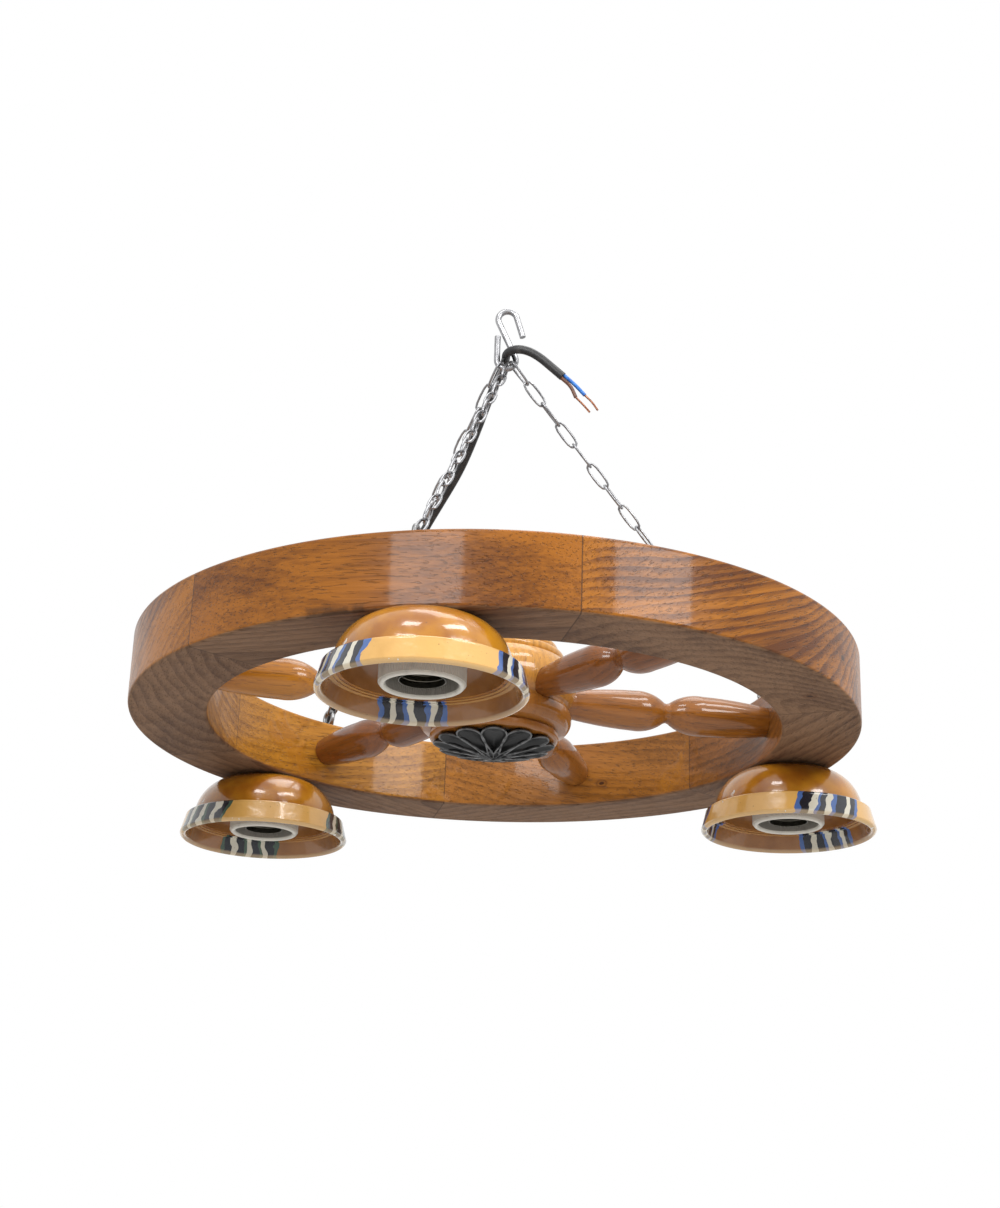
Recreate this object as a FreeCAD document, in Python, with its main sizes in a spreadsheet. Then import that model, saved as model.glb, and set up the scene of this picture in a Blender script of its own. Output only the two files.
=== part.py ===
import FreeCAD, Part
import math
import os
import Sketcher
from FreeCAD import Placement, Rotation, Vector

# Wagon wheel chandelier: a rim of six wooden felloes on six turned spokes and a turned hub, three
# ceramic shades with screw lampholders under the rim, and three chains from the rim to one S-hook.
# Lengths are millimetres and angles degrees. The origin is the seat inside the top of the S-hook,
# where the lamp hangs, +Z is up, and azimuth 0 is +X. The front of the lamp faces -Y.

doc = FreeCAD.newDocument("wagon_wheel_chandelier")

# ---------------------------------------------------------------- driving dimensions

SIZES = [
    ("wheel_radius", 250.0, "outer radius of the rim"),
    ("rim_width", 53.5, "width of a felloe, along the radius"),
    ("rim_height", 49.2, "height of a felloe"),
    ("rim_easing", 2.5, "rounding of the long edges of the felloes"),
    ("wheel_drop", 327.6, "from the hanging seat down to the underside of the rim"),
    ("felloe_angle", 11.0, "azimuth of the middle of the first felloe"),
    ("dowel_radius", 4.0, "dowel across a felloe joint"),
    ("dowel_length", 44.0, "length of that dowel"),
    ("dowel_offset", 13.0, "dowel from the middle of the rim's width"),
    ("dowel_level", 16.0, "dowel above the underside of the rim"),
    ("channel_width", 10.0, "wiring channel in the top of the rim"),
    ("channel_depth", 12.0, "its depth"),
    ("slip_thickness", 2.5, "wooden slip that closes the channel"),
    ("fit_clearance", 0.1, "radial clearance of dowels, tenons and screws in their holes"),
    ("seat_clearance", 0.25, "clearance between curved pieces that bear on each other"),
    ("slide_clearance", 0.4, "clearance between a link and the S-hook that it slides on"),
    ("spoke_angle", 10.7, "azimuth of the first spoke"),
    ("spoke_level", 25.8, "spoke axis above the underside of the rim"),
    ("spoke_belly", 14.2, "largest radius of a spoke"),
    ("spoke_neck", 6.8, "radius of the neck between its two bellies"),
    ("spoke_end", 10.4, "radius of a spoke at the hub and at the rim"),
    ("neck_place", 122.8, "neck from the wheel's axis"),
    ("tenon_radius", 7.0, "tenon at each end of a spoke"),
    ("tenon_length", 18.0, "its length"),
    ("hub_radius", 54.0, "radius of the hub where the spokes enter"),
    ("hub_foot", 6.0, "hub below the underside of the rim"),
    ("hub_top", 79.0, "top of the hub above the underside of the rim"),
    ("lamp_circle", 226.4, "radius of the circle of the three lamps"),
    ("lamp_angle", 19.2, "azimuth of the first lamp"),
    ("shade_radius", 62.5, "outer radius of a shade at its mouth"),
    ("shade_depth", 45.5, "depth of a shade"),
    ("shade_wall", 5.0, "wall of a shade"),
    ("shade_crown", 6.0, "thickness of a shade where it is clamped"),
    ("dome_radius", 53.0, "outer radius of the dome where it meets the band"),
    ("band_depth", 16.5, "depth of the band"),
    ("band_step", 6.2, "band outside the dome"),
    ("foot_radius", 26.0, "flat foot of a shade against the rim"),
    ("holder_radius", 25.0, "outer radius of a lampholder's skirt"),
    ("holder_wall", 3.4, "wall of the skirt"),
    ("holder_depth", 40.2, "skirt mouth below the underside of the rim"),
    ("holder_plate", 3.0, "top plate of the skirt"),
    ("core_radius", 16.6, "insulating core in a lampholder"),
    ("core_plate", 5.5, "plate of the core"),
    ("core_collar", 9.0, "collar of the core around the contact and the socket"),
    ("contact_chamber", 5.0, "depth of the contact's chamber, above the socket"),
    ("socket_radius", 13.4, "inner radius of the screw socket"),
    ("socket_wall", 0.6, "sheet of the screw socket"),
    ("socket_length", 17.0, "length of the screw socket"),
    ("contact_thickness", 0.5, "centre contact strip"),
    ("contact_width", 5.0, "its width"),
    ("contact_arm", 12.0, "its length from the bend to the tip"),
    ("contact_drop", 3.2, "tip below the foot of the strip"),
    ("nipple_radius", 5.0, "threaded tube through the rim"),
    ("nipple_bore", 3.4, "its bore"),
    ("nipple_grip", 3.5, "its reach into the core of the lampholder"),
    ("nut_pocket_radius", 11.0, "pocket for the nut in the top of the rim"),
    ("nut_pocket_depth", 24.0, "its depth"),
    ("nut_flats", 14.0, "nut, across its flats"),
    ("nut_height", 4.0, "its height"),
    ("washer_radius", 9.0, "washer under the nut"),
    ("washer_height", 1.5, "its thickness"),
    ("lead_radius", 2.5, "twin lead to the lampholders"),
    ("sleeve_wall", 1.1, "sleeve over the splice"),
    ("sleeve_length", 26.0, "its length"),
    ("rosette_radius", 43.3, "rosette under the hub"),
    ("rosette_height", 12.0, "its height"),
    ("rosette_screw_radius", 2.0, "screw that holds the rosette"),
    ("rosette_screw_length", 26.0, "its length under the head"),
    ("hook_wire", 2.3, "radius of the S-hook's wire"),
    ("hook_upper_bend", 7.0, "centreline radius of its upper bend"),
    ("hook_lower_bend", 7.0, "centreline radius of its lower bend"),
    ("hook_reach", 38.6, "centre of the lower bend below the hanging seat"),
    ("hook_tip", 17.0, "straight tip after the upper bend"),
    ("hook_leg", 19.5, "straight leg after the lower bend"),
    ("hook_flare", 17.0, "angle of the flared tip from the vertical"),
    ("chain_wire", 1.1, "radius of the chain's wire"),
    ("chain_width", 9.3, "outer width of a link"),
    ("hook_link_width", 12.4, "outer width of the opened end of the link on the hook"),
    ("eye_circle", 216.0, "radius of the circle of the eye screws"),
    ("eye_wire", 1.6, "radius of an eye screw's wire"),
    ("eye_ring", 5.6, "centreline radius of its ring"),
    ("eye_neck", 3.2, "ring above the rim"),
    ("eye_shank", 1.9, "radius of its threaded shank"),
    ("eye_grip", 20.0, "shank in the wood"),
    ("cable_radius", 3.2, "round mains cable"),
    ("core_wire_radius", 1.35, "insulated core of the cable"),
    ("copper_radius", 0.75, "stripped copper at the end of a core"),
]

sheet = doc.addObject("Spreadsheet::Sheet", "Sizes")
for row, (alias, number, meaning) in enumerate(SIZES, start=1):
    sheet.set("A%d" % row, meaning)
    sheet.set("B%d" % row, "%g" % number)
    sheet.setAlias("B%d" % row, alias)
doc.recompute()


class Size:
    """A size with its number and the spreadsheet expression that it comes from."""

    def __init__(self, number, text):
        self.number = float(number)
        self.text = text

    @staticmethod
    def of(thing):
        return thing if isinstance(thing, Size) else Size(thing, "%.9g" % thing)

    def join(self, other, sign, number):
        return Size(number, "(%s %s %s)" % (self.text, sign, other.text))

    def __add__(self, other):
        other = Size.of(other)
        return self.join(other, "+", self.number + other.number)

    def __sub__(self, other):
        other = Size.of(other)
        return self.join(other, "-", self.number - other.number)

    def __rsub__(self, other):
        return Size.of(other) - self

    def __mul__(self, other):
        other = Size.of(other)
        return self.join(other, "*", self.number * other.number)

    def __neg__(self):
        return self * -1

    __radd__ = __add__
    __rmul__ = __mul__


def size(alias):
    """The size of that name, bound to its spreadsheet cell."""
    return Size(getattr(sheet, alias), "Sizes." + alias)


def mm(alias):
    """The plain number of a size, for the pieces whose shape is computed here."""
    return float(getattr(sheet, alias))


# ---------------------------------------------------------------- drawing helpers

AXIS_X = Vector(1, 0, 0)
AXIS_Y = Vector(0, 1, 0)
AXIS_Z = Vector(0, 0, 1)


def turn(angle):
    """Rotation about the vertical by an azimuth."""
    return Rotation(AXIS_Z, angle)


def polar(radius, azimuth, height=0.0):
    """A point at a radius and an azimuth about the wheel's axis."""
    return turn(azimuth).multVec(Vector(radius, 0, height))


def origin_plane(body, role):
    """A body's own origin plane or axis, by its role."""
    for feature in body.Origin.OriginFeatures:
        if feature.Role == role:
            return feature
    raise ValueError("no origin feature " + role)


def new_body(label):
    body = doc.addObject("PartDesign::Body", label)
    body.Label = label
    return body


def outline(body, plane, points, arcs=None):
    """Closed, fully constrained sketch through points, each a pair of sizes.

    arcs gives, for the edge that leaves a point of that index, a radius and a side: +1 bulges to
    the right of the edge's direction, -1 to the left."""
    arcs = arcs or {}
    sketch = body.newObject("Sketcher::SketchObject", body.Label + "_outline")
    sketch.AttachmentSupport = [(origin_plane(body, plane), "")]
    sketch.MapMode = "FlatFace"
    corners = [(Size.of(x), Size.of(y)) for x, y in points]
    count = len(corners)
    ends = []
    for index in range(count):
        start = Vector(corners[index][0].number, corners[index][1].number, 0)
        stop = corners[(index + 1) % count]
        stop = Vector(stop[0].number, stop[1].number, 0)
        if index in arcs:
            radius, side = arcs[index]
            radius = Size.of(radius)
            chord = stop - start
            inset = math.sqrt(max(radius.number ** 2 - (chord.Length / 2) ** 2, 0))
            left = Vector(-chord.y, chord.x, 0).normalize()
            centre = (start + stop) / 2 + left * inset * side
            first, last = (start, stop) if side > 0 else (stop, start)
            angles = [math.atan2(p.y - centre.y, p.x - centre.x) for p in (first, last)]
            circle = Part.Circle(centre, AXIS_Z, radius.number)
            geometry = sketch.addGeometry(Part.ArcOfCircle(circle, angles[0], angles[1]), False)
            bend = sketch.addConstraint(Sketcher.Constraint("Radius", geometry, radius.number))
            sketch.setExpression("Constraints[%d]" % bend, radius.text)
            ends.append((geometry, 1, 2) if side > 0 else (geometry, 2, 1))
        else:
            ends.append((sketch.addGeometry(Part.LineSegment(start, stop), False), 1, 2))
    for index in range(count):
        here, before = ends[index], ends[index - 1]
        sketch.addConstraint(Sketcher.Constraint("Coincident", before[0], before[2], here[0], here[1]))
        for kind, value in zip(("DistanceX", "DistanceY"), corners[index]):
            link = sketch.addConstraint(
                Sketcher.Constraint(kind, -1, 1, here[0], here[1], value.number))
            sketch.setExpression("Constraints[%d]" % link, value.text)
    return sketch


def revolve(body, sketch, axis="V_Axis", angle=360.0):
    """Turned solid of a sketch, centred on the sketch's plane."""
    feature = body.newObject("PartDesign::Revolution", body.Label + "_turning")
    feature.Profile = sketch
    feature.ReferenceAxis = (sketch, [axis])
    feature.Midplane = True
    feature.Angle = angle
    sketch.Visibility = False
    return feature


def pad(body, sketch, length):
    feature = body.newObject("PartDesign::Pad", body.Label + "_pad")
    feature.Profile = sketch
    feature.Midplane = True
    length = Size.of(length)
    feature.Length = length.number
    feature.setExpression("Length", length.text)
    return feature


def bore(body, name, radius, depth, base, direction):
    """Round hole of a depth, drilled from base along direction."""
    feature = body.newObject("PartDesign::SubtractiveCylinder", body.Label + "_" + name)
    radius, depth = Size.of(radius), Size.of(depth)
    feature.Radius = radius.number
    feature.Height = depth.number
    feature.setExpression("Radius", radius.text)
    feature.setExpression("Height", depth.text)
    feature.Placement = Placement(base, Rotation(AXIS_Z, direction))
    return feature


def computed(label, shape, placement=None):
    """Piece whose shape is worked out in code."""
    feature = doc.addObject("Part::Feature", label)
    feature.Label = label
    feature.Shape = shape
    feature.Placement = placement or Placement()
    return feature


def wire_sweep(path, radius):
    """Round wire along a chain of straight and curved edges."""
    spine = Part.Wire(path)
    start = path[0].valueAt(path[0].FirstParameter)
    heading = path[0].tangentAt(path[0].FirstParameter)
    section = Part.Wire(Part.Edge(Part.Circle(start, heading, radius)))
    return spine.makePipeShell([section], True, False, 2)


pieces = []

rim_bottom = -mm("wheel_drop")
rim_top = rim_bottom + mm("rim_height")

# ---------------------------------------------------------------- rim

FELLOES = 6
FELLOE_SPAN = 360.0 / FELLOES
LAMPS = 3
LAMP_SPAN = 360.0 / LAMPS
lamp_angles = [mm("lamp_angle") + LAMP_SPAN * k for k in range(LAMPS)]
# The eye screws were set by eye, so they aren't evenly spaced.
EYES = {"right": 22.0, "rear_left": 127.0, "near_left": 256.5}

outer, inner = size("wheel_radius"), size("wheel_radius") - size("rim_width")
height, easing = size("rim_height"), size("rim_easing")
channel_in = size("lamp_circle") - size("channel_width") * 0.5
channel_out = size("lamp_circle") + size("channel_width") * 0.5
channel_floor = height - size("channel_depth")


def offset_azimuth(azimuth, middle):
    """Azimuth measured from a felloe's middle, between -180 and 180."""
    return (azimuth - middle + 180.0) % 360.0 - 180.0


for number in range(FELLOES):
    middle = mm("felloe_angle") + FELLOE_SPAN * number
    felloe = new_body("felloe_%d" % (number + 1))
    section = outline(
        felloe, "XZ_Plane",
        [(inner + easing, 0), (outer - easing, 0), (outer, easing), (outer, height - easing),
         (outer - easing, height), (channel_out, height), (channel_out, channel_floor),
         (channel_in, channel_floor), (channel_in, height), (inner + easing, height),
         (inner, height - easing), (inner, easing)],
        {1: (easing, 1), 3: (easing, 1), 9: (easing, 1), 11: (easing, 1)})
    revolve(felloe, section, angle=FELLOE_SPAN)
    # blind mortise for the spoke's tenon
    spoke_way = turn(offset_azimuth(mm("spoke_angle"), mm("felloe_angle"))).multVec(AXIS_X)
    bore(felloe, "mortise", size("tenon_radius") + size("fit_clearance"),
         size("tenon_length") + size("rim_easing"),
         spoke_way * (inner.number - mm("rim_easing")) + AXIS_Z * mm("spoke_level"), spoke_way)
    # dowel holes across both joints
    for side in (-1, 1):
        joint = turn(side * FELLOE_SPAN / 2)
        for offset in (-1, 1):
            place = Vector((inner.number + outer.number) / 2 + offset * mm("dowel_offset"),
                           side * mm("dowel_length") / 2, mm("dowel_level"))
            bore(felloe, "dowel_hole", size("dowel_radius") + size("fit_clearance"),
                 size("dowel_length"), joint.multVec(place),
                 joint.multVec(AXIS_Y) * -side)
    # hole and nut pocket for a lamp's threaded tube
    for azimuth in lamp_angles:
        local = offset_azimuth(azimuth, middle)
        if abs(local) < FELLOE_SPAN / 2:
            axis = polar(mm("lamp_circle"), local)
            bore(felloe, "nipple_hole", size("nipple_radius") + size("fit_clearance"), height,
                 axis, AXIS_Z)
            bore(felloe, "nut_pocket", size("nut_pocket_radius"), size("nut_pocket_depth"),
                 axis + AXIS_Z * height.number, -AXIS_Z)
    # pilot hole for an eye screw
    for azimuth in EYES.values():
        local = offset_azimuth(azimuth, middle)
        if abs(local) < FELLOE_SPAN / 2:
            bore(felloe, "eye_hole", size("eye_shank") + size("fit_clearance"),
                 size("eye_grip") + 1.0, polar(mm("eye_circle"), local, height.number), -AXIS_Z)
    felloe.Placement = Placement(Vector(0, 0, rim_bottom), turn(middle))
    pieces.append(felloe)

# two dowels across each joint
dowels = []
for number in range(FELLOES):
    joint = turn(mm("felloe_angle") + FELLOE_SPAN * (number + 0.5))
    for offset in (-1, 1):
        place = Vector((inner.number + outer.number) / 2 + offset * mm("dowel_offset"),
                       -mm("dowel_length") / 2 + mm("fit_clearance"),
                       rim_bottom + mm("dowel_level"))
        dowels.append(Part.makeCylinder(
            mm("dowel_radius"), mm("dowel_length") - 2 * mm("fit_clearance"),
            joint.multVec(place), joint.multVec(AXIS_Y)))
pieces.append(computed("joint_dowels", Part.makeCompound(dowels)))

# ---------------------------------------------------------------- hub and spokes

hub = new_body("hub")
hub_r = size("hub_radius")
foot, top = -size("hub_foot"), size("hub_top")
hub_points = [
    (0, foot), (hub_r - 12.0, foot), (hub_r - 9.5, foot + 2.5), (hub_r - 9.5, foot + 5.0),
    (hub_r - 10.5, foot + 6.5), (hub_r - 4.5, foot + 8.0), (hub_r - 3.5, foot + 23.0),
    (hub_r - 3.5, foot + 24.5), (hub_r - 2.0, foot + 26.0), (hub_r - 5.0, top - 29.0),
    (hub_r - 6.7, top - 28.0), (hub_r - 9.5, top - 21.5), (hub_r - 11.5, top - 21.0),
    (hub_r - 14.5, top - 15.0), (hub_r - 16.5, top - 14.5), (hub_r - 19.5, top - 7.5),
    (4.0, top), (0, top)]
hub_arcs = {1: (2.6, 1), 5: (10.4, 1), 8: (24.0, 1), 10: (4.4, 1), 12: (4.0, 1), 14: (4.4, 1),
            15: (hub_r + 13.0, 1)}
revolve(hub, outline(hub, "XZ_Plane", hub_points, hub_arcs))
SPOKES = 6
SPOKE_SPAN = 360.0 / SPOKES
spoke_seat = hub_r - 4.0
for number in range(SPOKES):
    way = turn(SPOKE_SPAN * (number + 0.5)).multVec(AXIS_X)
    bore(hub, "mortise_%d" % (number + 1), size("tenon_radius") + size("fit_clearance"),
         size("tenon_length") + 5.0,
         way * (spoke_seat.number - mm("tenon_length")) + AXIS_Z * mm("spoke_level"), way)
    bore(hub, "seat_%d" % (number + 1), size("spoke_end") + size("fit_clearance"), 6.0,
         way * spoke_seat.number + AXIS_Z * mm("spoke_level"), way)
bore(hub, "screw_hole", size("rosette_screw_radius") + size("fit_clearance"),
     size("rosette_screw_length"), Vector(0, 0, foot.number), AXIS_Z)
hub.Placement = Placement(Vector(0, 0, rim_bottom), turn(mm("spoke_angle") - SPOKE_SPAN / 2))
pieces.append(hub)

for number in range(SPOKES):
    spoke = new_body("spoke_%d" % (number + 1))
    neck = size("neck_place")
    belly, end, tenon = size("spoke_belly"), size("spoke_end"), size("tenon_radius")
    shoulder_end = inner - 0.3      # flat shoulder against the hollow of the rim
    spoke_points = [
        (spoke_seat - size("tenon_length") + size("fit_clearance"), 0),
        (spoke_seat - size("tenon_length") + size("fit_clearance"), tenon), (spoke_seat, tenon),
        (spoke_seat, end), (spoke_seat + 6.0, end), (neck - 24.0, belly),
        (neck - 2.0, size("spoke_neck") + 0.6), (neck, size("spoke_neck")),
        (neck + 2.0, size("spoke_neck") + 0.6), (neck + 26.0, belly),
        (shoulder_end, end), (shoulder_end, tenon),
        (inner + size("tenon_length") - size("fit_clearance"), tenon),
        (inner + size("tenon_length") - size("fit_clearance"), 0)]
    spoke_arcs = {4: (320.0, -1), 5: (30.0, -1), 8: (34.0, -1), 9: (320.0, -1)}
    revolve(spoke, outline(spoke, "XZ_Plane", spoke_points, spoke_arcs), "H_Axis")
    spoke.Placement = Placement(Vector(0, 0, rim_bottom + mm("spoke_level")),
                                turn(mm("spoke_angle") + SPOKE_SPAN * number))
    pieces.append(spoke)

# ---------------------------------------------------------------- rosette

rosette = new_body("rosette")
ros_r, ros_h = size("rosette_radius"), size("rosette_height")
rosette_points = [
    (0, 0), (ros_r - 13.0, 0), (ros_r, -(ros_h * 0.42)), (ros_r - 0.8, -(ros_h * 0.8)),
    (ros_r - 5.0, -ros_h), (14.5, -(ros_h * 0.86)), (12.0, -(ros_h * 0.8)), (0, -(ros_h * 0.42))]
revolve(rosette, outline(rosette, "XZ_Plane", rosette_points,
                         {1: (22.0, -1), 2: (3.4, -1), 3: (3.6, -1), 6: (19.0, 1)}))
PETALS = 12
PETAL_SPAN = 360.0 / PETALS


def around(body, feature, count):
    """The same cut repeated about the body's own vertical axis."""
    doc.recompute()
    pattern = body.newObject("PartDesign::PolarPattern", feature.Name + "_ring")
    pattern.Originals = [feature]
    pattern.Axis = (origin_plane(body, "Z_Axis"), [""])
    pattern.Angle = 360.0
    pattern.Occurrences = count
    body.Tip = pattern
    doc.recompute()
    return pattern


# a spoon-shaped hollow in each petal, and a notch between one petal's tip and the next
spoon = rosette.newObject("PartDesign::SubtractiveEllipsoid", "petal_spoon")
spoon.Radius1, spoon.Radius2, spoon.Radius3 = 7.6, 12.6, 7.0
spoon.Placement = Placement(Vector(ros_r.number - 15.4, 0, -ros_h.number - 1.2), Rotation())
around(rosette, spoon, PETALS)
notch = rosette.newObject("PartDesign::SubtractiveCylinder", "petal_notch")
notch.Radius, notch.Height = 4.4, 40.0
notch.Placement = Placement(polar(ros_r.number + 2.0, PETAL_SPAN / 2, -20.0), Rotation())
around(rosette, notch, PETALS)
bore(rosette, "screw_hole", size("rosette_screw_radius") + size("fit_clearance"), ros_h,
     Vector(0, 0, -ros_h.number), AXIS_Z)
rosette.Placement = Placement(Vector(0, 0, rim_bottom + foot.number), turn(PETAL_SPAN / 2))
pieces.append(rosette)

screw = new_body("rosette_screw")
screw_r = size("rosette_screw_radius")
screw_seat = -(ros_h * 0.42)
screw_points = [
    (0, screw_seat - 3.4), (0, screw_seat - 3.4 + size("rosette_screw_length")),
    (screw_r, screw_seat - 5.4 + size("rosette_screw_length")), (screw_r, screw_seat - 1.2),
    (screw_r + 2.2, screw_seat - 1.2), (screw_r + 1.2, screw_seat - 2.9)]
revolve(screw, outline(screw, "XZ_Plane", screw_points, {4: (2.4, -1), 5: (9.0, -1)}))
screw.Placement = Placement(Vector(0, 0, rim_bottom + foot.number), Rotation())
pieces.append(screw)

# ---------------------------------------------------------------- shades and lampholders

hole = size("nipple_radius") + size("fit_clearance")
mouth, depth = size("shade_radius"), size("shade_depth")
shoulder = -(depth - size("band_depth"))
band_top = size("dome_radius") + size("band_step")
crown = -size("shade_crown")
inside = mouth - size("shade_wall")
dome_in = size("dome_radius") - size("shade_wall")
shade_points = [
    (hole, 0), (size("foot_radius"), 0), (size("dome_radius"), shoulder),
    (band_top - 1.8, shoulder), (band_top, shoulder - 1.8), (mouth, -(depth - 2.6)),
    (mouth - 2.5, -depth), (inside, -(depth - 2.6)), (inside - 2.2, shoulder - 4.6),
    (dome_in + 4.4, shoulder - 4.6), (dome_in + 4.4, shoulder - 3.8),
    (dome_in + 2.2, shoulder - 3.8), (dome_in + 2.2, shoulder - 3.0),
    (dome_in + 0.2, shoulder - 3.0), (size("foot_radius") + 1.5, crown), (hole, crown)]
shade_arcs = {1: (31.0, -1), 3: (1.8, -1), 5: (2.9, -1), 6: (2.9, -1), 13: (29.0, 1)}

skirt_r, skirt_in = size("holder_radius"), size("holder_radius") - size("holder_wall")
skirt_end = -size("holder_depth")
plate = crown - size("holder_plate")
skirt_points = [
    (hole, crown), (skirt_r - 1.0, crown), (skirt_r, crown - 1.0), (skirt_r, skirt_end + 1.8),
    (skirt_r - 1.7, skirt_end), (skirt_in, skirt_end + 1.8), (skirt_in, plate), (hole, plate)]
skirt_arcs = {1: (1.0, -1), 3: (2.0, -1), 4: (2.0, -1)}

core_r, collar_in = size("core_radius"), size("socket_radius") + size("socket_wall")
core_seat = plate - size("core_plate")
socket_top = core_seat - size("contact_chamber")
core_points = [
    (hole, plate), (core_r, plate), (core_r, core_seat - size("core_collar")),
    (collar_in + size("fit_clearance"), core_seat - size("core_collar")),
    (collar_in + size("fit_clearance"), socket_top), (size("socket_radius") - 0.4, socket_top),
    (size("socket_radius") - 0.4, core_seat), (size("lead_radius") + 0.4, core_seat),
    (size("lead_radius") + 0.4, plate - size("nipple_grip")),
    (hole, plate - size("nipple_grip"))]

socket_in = size("socket_radius")
socket_end = socket_top - size("socket_length")
socket_points = [(socket_in, socket_top), (collar_in, socket_top), (collar_in, socket_end),
                 (socket_in, socket_end)]

strip = size("contact_thickness")
strip_top = core_seat - size("seat_clearance") - 0.05
strip_tip = strip_top - size("contact_drop")
CONTACT_FOOT = -12.0
CONTACT_BEND = -7.5
bend_end = size("contact_arm") * 0.4 + CONTACT_BEND
tip_end = size("contact_arm") + CONTACT_BEND
contact_points = [
    (CONTACT_FOOT, strip_top), (CONTACT_BEND, strip_top), (bend_end, strip_tip),
    (tip_end, strip_tip), (tip_end, strip_tip - strip), (bend_end - 0.3, strip_tip - strip),
    (CONTACT_BEND - 0.2, strip_top - strip), (CONTACT_FOOT, strip_top - strip)]

nipple_low = plate - size("nipple_grip")
pocket_floor = size("rim_height") - size("nut_pocket_depth")
nipple_high = pocket_floor + size("washer_height") + size("nut_height") + 1.5
nipple_r = size("nipple_radius")
nipple_points = [(size("nipple_bore"), nipple_low), (nipple_r, nipple_low),
                 (nipple_r, nipple_high), (size("nipple_bore"), nipple_high)]

TURNED_PARTS = [("shade", shade_points, shade_arcs), ("lampholder_skirt", skirt_points, skirt_arcs),
                ("lampholder_core", core_points, {}), ("screw_socket", socket_points, {}),
                ("threaded_tube", nipple_points, {})]
washers, nuts = [], []
for number, azimuth in enumerate(lamp_angles, start=1):
    seat = Placement(polar(mm("lamp_circle"), azimuth, rim_bottom), turn(azimuth))
    for name, points, arcs in TURNED_PARTS:
        turned = new_body("%s_%d" % (name, number))
        revolve(turned, outline(turned, "XZ_Plane", points, arcs))
        turned.Placement = seat
        pieces.append(turned)
    contact = new_body("centre_contact_%d" % number)
    pad(contact, outline(contact, "XZ_Plane", contact_points), size("contact_width"))
    contact.Placement = seat
    pieces.append(contact)
    hole_cutter = Part.makeCylinder(hole.number, mm("rim_height"))
    washer = Part.makeCylinder(mm("washer_radius"), mm("washer_height")).cut(hole_cutter)
    corner = mm("nut_flats") / 2 / math.cos(math.pi / 6)
    hexagon = Part.makePolygon([polar(corner, 60 * k) for k in range(7)])
    nut = Part.Face(hexagon).extrude(AXIS_Z * mm("nut_height")).cut(hole_cutter)
    washer.Placement = seat * Placement(AXIS_Z * pocket_floor.number, Rotation())
    nut.Placement = seat * Placement(
        AXIS_Z * (pocket_floor.number + mm("washer_height")), Rotation())
    washers.append(washer)
    nuts.append(nut)
pieces.append(computed("tube_washers", Part.makeCompound(washers)))
pieces.append(computed("tube_nuts", Part.makeCompound(nuts)))

# ---------------------------------------------------------------- wiring in the rim

CABLE_AZIMUTH = 125.3
sleeve_in = mm("lead_radius") + mm("fit_clearance")
sleeve_out = sleeve_in + mm("sleeve_wall")
lead_level = rim_top - mm("channel_depth") + sleeve_out + mm("seat_clearance")
lead_circle = mm("lamp_circle")


def arc_of(section_face, start, stop):
    """A flat section swept about the wheel's axis from one azimuth to another."""
    swept = section_face.revolve(Vector(), AXIS_Z, stop - start)
    swept.rotate(Vector(), AXIS_Z, start)
    return swept


def round_face(radius):
    return Part.Face(Part.Wire(Part.Edge(
        Part.Circle(Vector(lead_circle, 0, lead_level), AXIS_Y, radius))))


leads = arc_of(round_face(mm("lead_radius")), lamp_angles[0], lamp_angles[-1])
drop_end = rim_bottom + core_seat.number + 1.0
for azimuth in lamp_angles:
    leads = leads.fuse(Part.makeCylinder(mm("lead_radius") - 0.1, lead_level - drop_end,
                                         polar(lead_circle, azimuth, drop_end)))
pieces.append(computed("lamp_leads", leads))

sleeve_half = math.degrees(mm("sleeve_length") / 2 / lead_circle)
sleeve_face = round_face(sleeve_out).cut(round_face(sleeve_in))
pieces.append(computed("splice_sleeve", arc_of(sleeve_face.Faces[0], CABLE_AZIMUTH - sleeve_half,
                                               CABLE_AZIMUTH + sleeve_half)))

# slips between the nut pockets, with a gap where the cable comes out
slip_half_width = mm("channel_width") / 2 - 2 * mm("fit_clearance")
pocket_half = math.degrees((mm("nut_pocket_radius") + 1.0) / lead_circle)
cable_half = math.degrees((mm("cable_radius") + 0.6) / lead_circle)
slip_stops = [(azimuth, pocket_half) for azimuth in lamp_angles] + [(CABLE_AZIMUTH, cable_half)]
slip_stops.sort()
slip_face = Part.Face(Part.makePolygon([
    Vector(lead_circle + side * slip_half_width, 0, level) for side, level in (
        (-1, rim_top - mm("slip_thickness")), (1, rim_top - mm("slip_thickness")),
        (1, rim_top), (-1, rim_top), (-1, rim_top - mm("slip_thickness")))]))
slips = []
for index, (azimuth, half) in enumerate(slip_stops):
    next_azimuth, next_half = slip_stops[(index + 1) % len(slip_stops)]
    next_azimuth += 360.0 if index + 1 == len(slip_stops) else 0.0
    slips.append(arc_of(slip_face, azimuth + half, next_azimuth - next_half))
pieces.append(computed("channel_slips", Part.makeCompound(slips)))

# ---------------------------------------------------------------- S-hook

upper_bend, lower_bend = mm("hook_upper_bend"), mm("hook_lower_bend")
upper_centre = Vector(0, 0, mm("hook_wire") - upper_bend)
lower_centre = Vector(0, 0, -mm("hook_reach"))


def bend_point(centre, radius, angle):
    """Point of a bend in the hook's plane, its angle taken from +X towards +Z."""
    angle = math.radians(angle)
    return centre + Vector(radius * math.cos(angle), 0, radius * math.sin(angle))


def bend_arc(centre, radius, first, last):
    return Part.Arc(*[bend_point(centre, radius, a)
                      for a in (first, (first + last) / 2, last)]).toShape()


def straight(start, stop):
    return Part.LineSegment(start, stop).toShape()


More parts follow.
